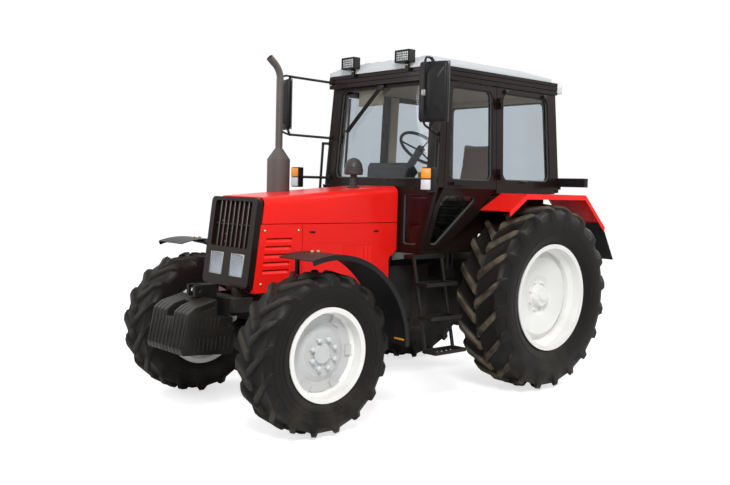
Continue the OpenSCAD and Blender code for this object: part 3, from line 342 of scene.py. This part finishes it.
FINISH = (
    (red, "bonnet_top bonnet_cover bonnet_sides rear_fenders"),
    (cab_dark, "grille cab_tub firewall windscreen_frame rear_wall quarter_frames roof_frame"
               " door_left door_right"),
    (black, "front_weights weight_carrier cab_mounts steps grab_rails drawbar top_link"
            " lower_links lift_arms lift_rods"),
    (iron, "front_frame engine transmission rear_axle front_axle drive_shaft"
           " knuckle_left knuckle_right tie_rod"),
    (white_rim, "rear_wheel_left rear_wheel_right"),
    (grey_disc, "front_wheel_left front_wheel_right"),
    (roof_white, "roof_cap"),
    (plastic, "mirrors lamps steering_wheel front_fender_left front_fender_right indicators"),
    (grey_plastic, "dash"),
    (core_rust, "radiator"),
    (cleaner_grey, "precleaner"),
    (reflector, "headlamps"),
    (burnt, "exhaust"),
    (flap_rubber, "mud_flaps"),
    (seat_cloth, "seat"),
    (front_rubber, "front_tyre_left front_tyre_right"),
    (rear_rubber, "rear_tyre_left rear_tyre_right"),
    (pane, "windscreen rear_glass quarter_glass firewall_glass door_glass_left door_glass_right"),
)
for material, names in FINISH:
    for name in names.split():
        nodes[name].data.materials.clear()
        nodes[name].data.materials.append(material)


# Modelling steps
def deselect():
    bpy.ops.object.select_all(action="DESELECT")


def make_active(piece):
    deselect()
    piece.select_set(True)
    bpy.context.view_layer.objects.active = piece


def settle(piece):
    make_active(piece)
    bpy.ops.object.transform_apply(location=True, rotation=True, scale=True)
    return piece


def round_edges(piece, width, segments=2, limit=30):
    make_active(piece)
    bevel = piece.modifiers.new("Round", "BEVEL")
    bevel.width, bevel.segments, bevel.angle_limit = width, segments, math.radians(limit)
    bpy.ops.object.modifier_apply(modifier=bevel.name)
    return piece


def block(low, high, width=0.004, segments=2):
    """Block between two corners, with rounded edges."""
    deselect()
    bpy.ops.mesh.primitive_cube_add(size=1, location=(low + high) / 2)
    piece = bpy.context.object
    piece.scale = [abs(high[i] - low[i]) for i in range(3)]
    return round_edges(settle(piece), width, segments)


def rod(start, end, radius, sides=20):
    """Round bar between two points, with rounded ends."""
    deselect()
    way = end - start
    bpy.ops.mesh.primitive_cylinder_add(
        vertices=sides, radius=radius, depth=way.length, location=(start + end) / 2,
        rotation=way.to_track_quat("Z", "Y").to_euler())
    return round_edges(settle(bpy.context.object), radius * 0.25)


def dome(spot, outward, radius, height):
    """Bolt head: a low dome on a washer, looking outward."""
    deselect()
    bpy.ops.mesh.primitive_cylinder_add(
        vertices=24, radius=radius, depth=height, location=spot + outward * height / 2,
        rotation=outward.to_track_quat("Z", "Y").to_euler())
    piece = settle(bpy.context.object)
    select_faces(piece, lambda face: face.normal.dot(outward) > 0.9)
    bpy.ops.object.mode_set(mode="EDIT")
    bpy.ops.mesh.inset(thickness=radius * 0.28, depth=height * 0.5)
    bpy.ops.mesh.inset(thickness=radius * 0.3, depth=height * 0.3)
    bpy.ops.object.mode_set(mode="OBJECT")
    return piece


def select_faces(piece, wanted):
    make_active(piece)
    bpy.ops.object.mode_set(mode="EDIT")
    bpy.ops.mesh.select_mode(type="FACE")
    bpy.ops.mesh.select_all(action="DESELECT")
    bpy.ops.object.mode_set(mode="OBJECT")
    for face in piece.data.polygons:
        face.select = wanted(face)


def tube(points, radius):
    """Round tube that runs smoothly along points."""
    deselect()
    line = bpy.data.curves.new("tube", "CURVE")
    line.dimensions = "3D"
    line.bevel_depth = radius
    line.bevel_resolution = 4
    line.use_fill_caps = True
    spline = line.splines.new("NURBS")
    spline.points.add(len(points) - 1)
    for point, spot in zip(spline.points, points):
        point.co = (*spot, 1)
    spline.order_u = 3
    spline.use_endpoint_u = True
    piece = bpy.data.objects.new("tube", line)
    scene.collection.objects.link(piece)
    make_active(piece)
    bpy.ops.object.convert(target="MESH")
    return bpy.context.object


def turned(profile, hub, steps):
    """Profile of (radius, y) points spun round an axle along Y."""
    deselect()
    mesh = bpy.data.meshes.new("turned")
    mesh.from_pydata([(hub.x + radius, y, hub.z) for radius, y in profile],
                     [(i, (i + 1) % len(profile)) for i in range(len(profile))], [])
    piece = bpy.data.objects.new("turned", mesh)
    scene.collection.objects.link(piece)
    make_active(piece)
    bpy.ops.object.mode_set(mode="EDIT")
    bpy.ops.mesh.select_all(action="SELECT")
    bpy.ops.mesh.spin(steps=steps, angle=2 * math.pi, center=hub, axis=(0, 1, 0))
    bpy.ops.mesh.select_all(action="SELECT")
    bpy.ops.mesh.remove_doubles(threshold=0.00005)
    bpy.ops.mesh.normals_make_consistent(inside=False)
    bpy.ops.object.mode_set(mode="OBJECT")
    return piece


def joined(pieces):
    deselect()
    for piece in pieces:
        piece.select_set(True)
    bpy.context.view_layer.objects.active = pieces[0]
    bpy.ops.object.join()
    return settle(bpy.context.object)


def fit(piece, name, body, material, stands_for=()):
    """Names a finished piece, gives it its finish and hangs it on its body."""
    piece.name = name
    piece.data.name = name
    piece.data.materials.clear()
    piece.data.materials.append(material)
    make_active(piece)
    bpy.ops.object.shade_smooth_by_angle(angle=math.radians(35))
    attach(piece, body)
    if stands_for:
        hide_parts(*stands_for)


def merged_copy(node):
    """Own copy of a solid's mesh with its triangles joined up."""
    piece = bpy.data.objects.new("copy", nodes[node].data.copy())
    scene.collection.objects.link(piece)
    make_active(piece)
    bpy.ops.object.mode_set(mode="EDIT")
    bpy.ops.mesh.select_all(action="SELECT")
    bpy.ops.mesh.remove_doubles(threshold=0.0002)
    bpy.ops.object.mode_set(mode="OBJECT")
    return piece


# Tyres: lugs with rounded edges and raised rings on the side walls
LUG_ROUNDING = 0.007
# Each ring's radius and place across, as shares of the tyre's radius and half width
WALL_RINGS = ((0.68, 0.955), (0.74, 0.968), (0.82, 0.984))
RING_FOOT, RING_TOP = 0.006, 0.004


def fit_tyre(end, side, hub, rubber):
    node = f"{end}_tyre_{side}"
    low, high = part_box(node)
    middle = (low.y + high.y) / 2
    half = (high.y - low.y) / 2
    tip = hub.z
    piece = round_edges(merged_copy(node), LUG_ROUNDING, limit=32)
    rings = []
    for share, height in WALL_RINGS:
        for face in (1, -1):
            radius, y = tip * share, middle + face * half * height
            foot, top = y - face * RING_FOOT, y + face * RING_TOP
            profile = [(radius - RING_FOOT, foot), (radius - RING_TOP, top),
                       (radius + RING_TOP, top), (radius + RING_FOOT, foot)]
            rings.append(turned(profile, hub, 80))
    fit(joined([piece] + rings), f"{end}_tyre_skin_{side}", f"wheel_{end}_{side}", rubber, [node])


for side, _ in SIDES:
    fit_tyre("front", side, FRONT_HUB, front_rubber)
    fit_tyre("rear", side, REAR_HUB, rear_rubber)


# Rubber seals run round each pane's outer edge
SEAL_R = 0.011
FACING = 0.75


def seal_round(node, name, body, outward):
    piece = merged_copy(node)
    select_faces(piece, lambda face: face.normal.dot(outward(face.center)) < FACING)
    bpy.ops.object.mode_set(mode="EDIT")
    bpy.ops.mesh.delete(type="FACE")
    bpy.ops.mesh.select_all(action="SELECT")
    bpy.ops.mesh.region_to_loop()
    bpy.ops.mesh.select_all(action="INVERT")
    bpy.ops.mesh.delete(type="EDGE_FACE")
    bpy.ops.object.mode_set(mode="OBJECT")
    make_active(piece)
    bpy.ops.object.convert(target="CURVE")
    line = bpy.context.object
    line.data.bevel_depth = SEAL_R
    line.data.bevel_resolution = 3
    bpy.ops.object.convert(target="MESH")
    fit(bpy.context.object, name, body, seal_rubber)


def to_side(spot):
    return Vector((0, 1 if spot.y > 0 else -1, 0))


def to_front(spot):
    return Vector((1, 0, 0))


def to_rear(spot):
    return Vector((-1, 0, 0))


seal_round("windscreen", "windscreen_seal", "chassis", to_front)
seal_round("firewall_glass", "firewall_seals", "chassis", to_front)
seal_round("rear_glass", "rear_seal", "chassis", to_rear)
seal_round("quarter_glass", "quarter_seals", "chassis", to_side)
for side, _ in SIDES:
    seal_round(f"door_glass_{side}", f"door_seals_{side}", f"door_{side}", to_side)


# Grille brightwork and headlamps, laid out on the leaning grille face
GRILLE_TOP = place(2600, 0, 1627)
GRILLE_TURN = Matrix.Rotation(math.radians(-7.4), 4, "Y")


def grille_block(low, high, width):
    piece = block(Vector(low) / 1000, Vector(high) / 1000, width)
    piece.matrix_world = Matrix.Translation(GRILLE_TOP) @ GRILLE_TURN
    return settle(piece)


def frame_ring(low, high, rim, width, maker):
    """Four bars round an opening; low and high are its outer corners."""
    x0, y0, z0 = low
    x1, y1, z1 = high
    bars = [((x0, y0, z0), (x1, y0 + rim, z1)), ((x0, y1 - rim, z0), (x1, y1, z1)),
            ((x0, y0 + rim, z0), (x1, y1 - rim, z0 + rim)),
            ((x0, y0 + rim, z1 - rim), (x1, y1 - rim, z1))]
    return [maker(a, b, width) for a, b in bars]


BAR_PITCH = 61
HEADLAMP_Y = 138
FLUTE = 22
bars = [grille_block((-12.5, k * BAR_PITCH + 7, -374), (-10, k * BAR_PITCH + 10, -30), 0.0008)
        for k in range(-3, 4)]
fit(joined(bars), "grille_bright_edges", "chassis", bar_edge)
for side, sign in SIDES:
    y = sign * HEADLAMP_Y
    bezel = frame_ring((-8, y - 87, -587), (1, y + 87, -419), 9, 0.002, grille_block)
    fit(joined(bezel), f"headlamp_bezel_{side}", "chassis", bar_edge)
    flutes = [grille_block((-7, y + (i - 3.5) * FLUTE, -577), (-1.5, y + (i - 2.5) * FLUTE, -429), 0.0025)
              for i in range(7)]
    fit(joined(flutes), f"headlamp_lens_{side}", "chassis", lamp_glass)


# Work lamps on the roof, the front ones a lens behind a wire grid, and the tail lamps
WORK_LAMP_Y, REAR_LAMP_Y, TAIL_LAMP_Y = 338, 645, 850
WIRE_R = 0.0018


def lamp_block(low, high, width):
    return block(place(*low), place(*high), width)


for side, sign in SIDES:
    y = sign * WORK_LAMP_Y
    lens = lamp_block((1228, y - 70, 2757), (1234, y + 70, 2833), 0.002)
    fit(lens, f"work_lamp_lens_{side}", "chassis", pale_lens)
    wires = [rod(place(1238, y - 70, z), place(1238, y + 70, z), WIRE_R, 8) for z in range(2757, 2834, 19)]
    wires += [rod(place(1238, y + d, 2757), place(1238, y + d, 2833), WIRE_R, 8) for d in range(-70, 71, 20)]
    wires += frame_ring((1232, y - 82, 2745), (1243, y + 82, 2845), 9, 0.002, lamp_block)
    fit(joined(wires), f"work_lamp_grid_{side}", "chassis", plastic)
    bolts = [dome(place(1180, y + d, 2730), Vector((1, 0, 0)), 0.008, 0.006) for d in (-11, 11)]
    fit(joined(bolts), f"work_lamp_bolts_{side}", "chassis", zinc)
    y = sign * REAR_LAMP_Y
    rear_shell = lamp_block((-472, y - 48, 2617), (-398, y + 48, 2703), 0.008)
    fit(rear_shell, f"rear_work_shell_{side}", "chassis", pale_lens)
    rear_lens = lamp_block((-477, y - 38, 2628), (-468, y + 38, 2692), 0.003)
    fit(rear_lens, f"rear_work_lens_{side}", "chassis", pale_lens)
    y = sign * TAIL_LAMP_Y
    tail = lamp_block((-508, y - 125, 1778), (-498, y - 5, 1842), 0.004)
    fit(tail, f"tail_lens_{side}", "chassis", red_lens)
    turn = lamp_block((-508, y + 8, 1778), (-498, y + 125, 1842), 0.004)
    fit(turn, f"tail_turn_lens_{side}", "chassis", amber)


# Front indicators: a black housing with an amber lens over a clear one
INDICATOR_Y, INDICATOR_FOOT_Y = 830, 650
for side, sign in SIDES:
    y = sign * INDICATOR_Y
    foot_y = sign * INDICATOR_FOOT_Y
    shell = [block(place(1360, y - 55, 1708), place(1418, y + 55, 1888), 0.008, 3),
             rod(place(1395, sign * 800, 1800), place(1170, foot_y, 1800), 0.012),
             block(place(1166, foot_y - 20, 1782), place(1178, foot_y + 20, 1822), 0.003)]
    fit(joined(shell), f"indicator_housing_{side}", "chassis", plastic, ["indicators"])
    upper = block(place(1412, y - 48, 1802), place(1430, y + 48, 1880), 0.007, 3)
    fit(upper, f"indicator_amber_{side}", "chassis", amber)
    lower = block(place(1412, y - 48, 1716), place(1430, y + 48, 1794), 0.007, 3)
    fit(lower, f"indicator_clear_{side}", "chassis", pale_lens)


# Wiper on the windscreen
def on_screen(y, z, out):
    return place(SCREEN_X - (z - SILL_Z) * SCREEN_LEAN + out, y, z)


PIVOT_Y, BLADE_Y, JOINT_Z = -50, -455, 2215
arms = [rod(on_screen(PIVOT_Y + d, 2578, 14), on_screen(BLADE_Y + d, JOINT_Z, 4), 0.009)
        for d in (0, 34)]
arms.append(block(on_screen(PIVOT_Y - 25, 2556, 0), on_screen(PIVOT_Y + 62, 2602, 24), 0.008, 3))
arms.append(rod(on_screen(BLADE_Y - 15, JOINT_Z, 2), on_screen(BLADE_Y + 45, JOINT_Z, 2), 0.008))
fit(joined(arms), "wiper_arms", "chassis", black)
blade = block(Vector((-0.022, -0.009, 0)), Vector((-0.004, 0.009, 0.62)), 0.004)
blade_lean = Matrix.Rotation(-math.atan(SCREEN_LEAN), 4, "Y")
blade.matrix_world = Matrix.Translation(on_screen(BLADE_Y, 1890, 0)) @ blade_lean
fit(settle(blade), "wiper_blade", "chassis", seal_rubber)

# Mirrors: a shell with glass and rim, held by a bar in front of it and a clamp
MIRROR_TURN = math.radians(17)
MIRROR_X, MIRROR_Y, MIRROR_Z = 1450, 925, 2450
ARM_Y, ARM_TOP, ARM_FOOT = 880, 2700, 2180
MIRROR_BAR = ((40, -50, 262), (84, -50, 225), (84, -50, 100),
              (84, -50, -100), (84, -50, -225), (40, -50, -262))


def mirror_frame(sign):
    turn = Matrix.Rotation(sign * MIRROR_TURN, 4, "Z")
    return Matrix.Translation(place(MIRROR_X, sign * MIRROR_Y, MIRROR_Z)) @ turn


def on_mirror(sign, x, y, z):
    return mirror_frame(sign) @ (Vector((x, sign * y, z)) / 1000)


def mirror_block(sign, low, high, width):
    piece = block(Vector(low) / 1000, Vector(high) / 1000, width, 3)
    piece.matrix_world = mirror_frame(sign)
    return settle(piece)


for side, sign in SIDES:
    shell = mirror_block(sign, (-1, -117, -223), (46, 117, 223), 0.022)
    forward = Matrix.Rotation(sign * MIRROR_TURN, 3, "Z") @ Vector((1, 0, 0))
    select_faces(shell, lambda face: face.normal.dot(forward) > 0.99 and face.area > 0.02)
    bpy.ops.object.mode_set(mode="EDIT")
    bpy.ops.mesh.inset(thickness=0.006, depth=0.0)
    bpy.ops.mesh.inset(thickness=0.078, depth=0.036)
    bpy.ops.object.mode_set(mode="OBJECT")
    fit(shell, f"mirror_shell_{side}", "chassis", plastic)
    glass = mirror_block(sign, (-4, -104, -210), (-1, 104, 210), 0.001)
    fit(glass, f"mirror_glass_{side}", "chassis", chrome)
    rim = frame_ring((-6, -119, -225), (4, 119, 225), 7, 0.003,
                     lambda a, b, w: mirror_block(sign, a, b, w))
    fit(joined(rim), f"mirror_rim_{side}", "chassis", grey_plastic)
    ends = [place(MIRROR_X, sign * ARM_Y, z) for z in (ARM_TOP, ARM_FOOT)]
    route = [on_mirror(sign, *spot) for spot in MIRROR_BAR]
    bar = tube(ends[:1] + route + ends[1:], 0.009)
    fit(bar, f"mirror_rod_{side}", "chassis", plastic)
    clamp = mirror_block(sign, (66, sign * -66, -38), (97, sign * -34, 8), 0.005)
    fit(clamp, f"mirror_clamp_{side}", "chassis", bar_edge)

# Bolts and catches on the body panels, reflectors and bolts on the front guards
PANEL_Y = 305
PANEL_BOLTS = ((2230, 1388), (2535, 1389), (2566, 1000), (2230, 985), (1340, 985), (2150, 985))
CATCHES = ((2091, 1374), (1437, 1371))
WHEELBASE = 2450
GUARD_R, REFLECTOR_Y, GUARD_BOLT_Y = 687, 940, 790
for side, sign in SIDES:
    out = Vector((0, sign, 0))
    screws = [dome(place(x, sign * PANEL_Y, z), out, 0.009, 0.006) for x, z in PANEL_BOLTS]
    fit(joined(screws), f"panel_bolts_{side}", "chassis", zinc)
    catches = []
    for x, z in CATCHES:
        catches.append(block(place(x - 18, sign * PANEL_Y, z - 7),
                             place(x + 18, sign * (PANEL_Y + 9), z + 7), 0.003, 3))
        catches.append(dome(place(x + 26, sign * PANEL_Y, z), out, 0.006, 0.005))
    fit(joined(catches), f"bonnet_catches_{side}", "chassis", plastic)
    guard_x = WHEELBASE - GUARD_R * math.cos(math.radians(6))
    y = sign * REFLECTOR_Y
    plate = block(place(guard_x - 10, y - 55, 610), place(guard_x - 2, y + 55, 660), 0.003)
    fit(plate, f"guard_reflector_{side}", f"steer_{side}", amber)
    guard_bolts = [dome(place(WHEELBASE + d, sign * GUARD_BOLT_Y, 1268), Vector((0, 0, 1)), 0.012, 0.008)
                   for d in (-26, 26)]
    fit(joined(guard_bolts), f"guard_bolts_{side}", f"steer_{side}", zinc)

# Ballast slabs with rounded edges and ribs down their faces and outer sides
SLAB = 49.6
SLAB_FACE_X, SLAB_FOOT_Z, SLAB_LEAN = 3170, 560, 0.2
ribs = []
for k in range(-5, 5):
    y = (k + 0.5) * SLAB
    top = 770 if k in (-1, 0) else 810
    ribs.append(rod(place(SLAB_FACE_X - (top - SLAB_FOOT_Z) * SLAB_LEAN - 1, y, top),
                    place(SLAB_FACE_X - 1, y, SLAB_FOOT_Z + 12), 0.008, 12))
fit(joined(ribs), "slab_ribs", "chassis", black)
slabs = round_edges(merged_copy("front_weights"), 0.006)
fit(slabs, "ballast_slabs", "chassis", black, ["front_weights"])
for side, sign in SIDES:
    y = sign * 5 * SLAB
    marks = [rod(place(x, y, 545), place(x - 10, y, 640), 0.006, 12) for x in range(2800, 3080, 34)]
    marks += [rod(place(x, y, 705), place(x - 10, y, 775), 0.006, 12) for x in range(2880, 3080, 34)]
    fit(joined(marks), f"slab_side_ribs_{side}", "chassis", black)

# Nuts round the front hubs, and fittings of the opening quarter windows
NUTS, NUT_CIRCLE, HUB_FACE_Y = 8, 0.105, 0.904
for side, sign in SIDES:
    out = Vector((0, sign, 0))
    hub = Vector((FRONT_HUB.x, sign * HUB_FACE_Y, FRONT_HUB.z))
    nuts = []
    for k in range(NUTS):
        turn = math.radians(k * 360 / NUTS + 22)
        spot = hub + NUT_CIRCLE * Vector((math.cos(turn), 0, -math.sin(turn)))
        nuts.append(dome(spot, out, 0.017, 0.012))
    fit(joined(nuts), f"hub_nuts_{side}", f"wheel_front_{side}", roof_white)
    fittings = [block(place(x, sign * 676, 2548), place(x + 44, sign * 700, 2584), 0.005, 3)
                for x in (-235, 300)]
    fittings.append(rod(place(20, sign * 716, 1800), place(130, sign * 716, 1806), 0.007))
    fittings.append(rod(place(75, sign * 690, 1800), place(75, sign * 718, 1803), 0.009))
    fit(joined(fittings), f"quarter_fittings_{side}", "chassis", black)


# Seat: two filled cushions on a pleated base
CUSHION_VOXEL, SWELL_CAP, SWELL_STEPS = 0.006, 0.022, 20
CHANNEL_SHARES, CHANNEL_DEPTH, CHANNEL_WIDTH = (0.22, 0.78), 0.10, 0.009


def filled_cushion(low, high, turn):
    """Cushion swollen by its filling, with two sewn channels along it."""
    piece = block(low, high, 0.03, 4)
    make_active(piece)
    piece.data.remesh_voxel_size = CUSHION_VOXEL
    bpy.ops.object.voxel_remesh()
    rest = [v.co.copy() for v in piece.data.vertices]
    cloth = piece.modifiers.new("Filling", "CLOTH")
    cloth.settings.use_pressure = True
    cloth.settings.uniform_pressure_force = 4.0
    cloth.settings.effector_weights.gravity = 0.0
    cloth.settings.quality = 4
    for step in range(1, SWELL_STEPS + 1):
        scene.frame_set(step)
    make_active(piece)
    bpy.ops.object.modifier_apply(modifier=cloth.name)
    scene.frame_set(1)
    for vertex, start in zip(piece.data.vertices, rest):
        move = vertex.co - start
        if move.length > SWELL_CAP:
            vertex.co = start + move * (SWELL_CAP / move.length)
    smooth = piece.modifiers.new("Finish", "SUBSURF")
    smooth.levels = smooth.render_levels = 1
    bpy.ops.object.modifier_apply(modifier=smooth.name)
    middle = (low + high) / 2
    channels = [low.y + (high.y - low.y) * share for share in CHANNEL_SHARES]
    for vertex in piece.data.vertices:
        for y in channels:
            pull = CHANNEL_DEPTH * math.exp(-((vertex.co.y - y) / CHANNEL_WIDTH) ** 2)
            vertex.co -= (vertex.co - middle) * pull
    piece.matrix_world = turn
    return settle(piece)


base_cushion = filled_cushion(place(-122, -222, 1640), place(312, 222, 1712), Matrix.Identity(4))
fit(base_cushion, "seat_cushion", "chassis", seat_cloth, ["seat"])
BACK_FOOT = place(-60, 0, 1725)
back_turn = Matrix.Translation(BACK_FOOT) @ Matrix.Rotation(math.radians(-10), 4, "Y")
back_cushion = filled_cushion(Vector((-0.092, -0.218, 0.03)), Vector((-0.018, 0.218, 0.452)), back_turn)
fit(back_cushion, "seat_back", "chassis", seat_cloth, ["seat"])
PLEAT, PLEAT_IN, FLOOR_Z = 36, 10, 1372
pleats = []
for i in range(7):
    inset, z = i % 2 * PLEAT_IN, FLOOR_Z + i * PLEAT
    pleats.append(block(place(-118 + inset, -178 + inset, z),
                        place(258 - inset, 178 - inset, z + 38), 0.012, 3))
fit(joined(pleats), "seat_base", "chassis", plastic, ["seat"])

# Inside the cab: lining, visor, pillar trim, levers and their console
roof_lining = block(place(-310, -590, 2588), place(1020, 590, 2599), 0.004)
fit(roof_lining, "roof_lining", "chassis", lining)
visor = block(place(1004, -430, 2440), place(1016, -110, 2586), 0.005, 3)
fit(visor, "sun_visor", "chassis", lining)
trims = [block(place(-331, -575, 2540), place(-318, 575, 2590), 0.004)]
for _, sign in SIDES:
    post = block(Vector((-0.046, -0.014, 0)), Vector((0.046, 0.014, 0.838)), 0.008, 3)
    lean = Matrix.Rotation(sign * SIDE_LEAN, 4, "X")
    post.matrix_world = Matrix.Translation(place(392, sign * 647, 1746)) @ lean
    trims += [settle(post), rod(place(1062, sign * 634, 1765), place(1010, sign * 604, 2584), 0.024)]
fit(joined(trims), "pillar_trim", "chassis", lining)
# Each lever's x and y, and the heights of its foot and top
LEVERS = ((420, -330, 1560, 1830), (340, -350, 1600, 1850), (250, -360, 1620, 1840), (760, 300, 1260, 1560))
levers = [rod(place(x, y, low), place(x + 30, y, high), 0.007) for x, y, low, high in LEVERS]
fit(joined(levers), "control_levers", "chassis", black)
knobs = [rod(place(x + 28, y, high - 10), place(x + 34, y, high + 38), 0.02) for x, y, low, high in LEVERS]
fit(joined(knobs), "lever_knobs", "chassis", yellow)
console = block(place(160, -430, FLOOR_Z), place(520, -262, 1640), 0.03, 4)
fit(console, "lever_console", "chassis", grey_plastic)

# Studio: pale floor, soft light and the photograph's view
deselect()
bpy.ops.mesh.primitive_plane_add(size=60, location=(0, 0, 0))
floor = bpy.context.object
floor.name = "studio_floor"
floor_material, floor_tree, floor_shader = start_material("studio_floor")
floor_grain = place_group(floor_tree, GRAIN, Scale=60.0, Depth=0.02)
floor_colour = mix_colour(floor_tree, floor_grain.outputs["Value"], (0.78, 0.78, 0.78, 1), (0.8, 0.8, 0.8, 1))
floor_tree.links.new(floor_colour, floor_shader.inputs["Base Color"])
floor_shader.inputs["Roughness"].default_value = 0.8
floor_path = floor_tree.nodes.new("ShaderNodeLightPath")
floor_shader.inputs["Emission Color"].default_value = (1, 1, 1, 1)
# White to the camera, with the tractor's soft shadow left on it
FLOOR_LIFT = 0.68
floor_lift = add_math(floor_tree, "MULTIPLY", floor_path.outputs["Is Camera Ray"], FLOOR_LIFT)
floor_tree.links.new(floor_lift, floor_shader.inputs["Emission Strength"])
floor.data.materials.append(floor_material)


def softbox(name, spot, target, size, power):
    lamp = bpy.data.lights.new(name, "AREA")
    lamp.shape = "DISK"
    lamp.size = size
    lamp.energy = power
    piece = bpy.data.objects.new(name, lamp)
    scene.collection.objects.link(piece)
    piece.location = spot
    piece.rotation_euler = (Vector(target) - Vector(spot)).to_track_quat("-Z", "Y").to_euler()


softbox("key_light", (5.5, 6.0, 7.0), (0, 0, 1.2), 3.2, 720)
softbox("fill_light", (7.0, -4.0, 4.0), (0.5, 0, 1.2), 4.0, 150)
softbox("rim_light", (-6.0, 4.0, 6.0), (0, 0, 1.2), 4.0, 260)

world = bpy.data.worlds.new("studio")
scene.world = world
world.use_nodes = True
sky = world.node_tree.nodes["Background"]
sky.inputs["Color"].default_value = (1, 1, 1, 1)
path = world.node_tree.nodes.new("ShaderNodeLightPath")
seen = add_math(world.node_tree, "MAXIMUM", path.outputs["Is Camera Ray"], path.outputs["Is Transmission Ray"])
seen = add_math(world.node_tree, "MAXIMUM", seen, path.outputs["Is Glossy Ray"])
AMBIENT = 0.4
strength = add_math(world.node_tree, "MULTIPLY_ADD", seen, 1 - AMBIENT, AMBIENT)
world.node_tree.links.new(strength, sky.inputs["Strength"])
scene.view_settings.view_transform = "Standard"

# The photograph's camera, fitted to points read from it
EYE = place(6105, 5391, 1733.5)
TURN, RISE, ROLL = (math.radians(a) for a in (48.2, 3.8, 1.5))
FOCAL_PIXELS, PHOTO_WIDTH, SENSOR = 852.1, 730, 36.0
backward = Vector((math.cos(TURN) * math.cos(RISE), math.sin(TURN) * math.cos(RISE), math.sin(RISE)))
level = Vector((-math.sin(TURN), math.cos(TURN), 0))
upward = backward.cross(level)
right = level * math.cos(ROLL) + upward * math.sin(ROLL)
upward = upward * math.cos(ROLL) - level * math.sin(ROLL)
lens = bpy.data.cameras.new("photo_view")
lens.sensor_width = SENSOR
lens.lens = FOCAL_PIXELS * SENSOR / PHOTO_WIDTH
camera = bpy.data.objects.new("photo_view", lens)
scene.collection.objects.link(camera)
camera.matrix_world = Matrix((right, upward, backward)).transposed().to_4x4()
camera.location = EYE
scene.camera = camera
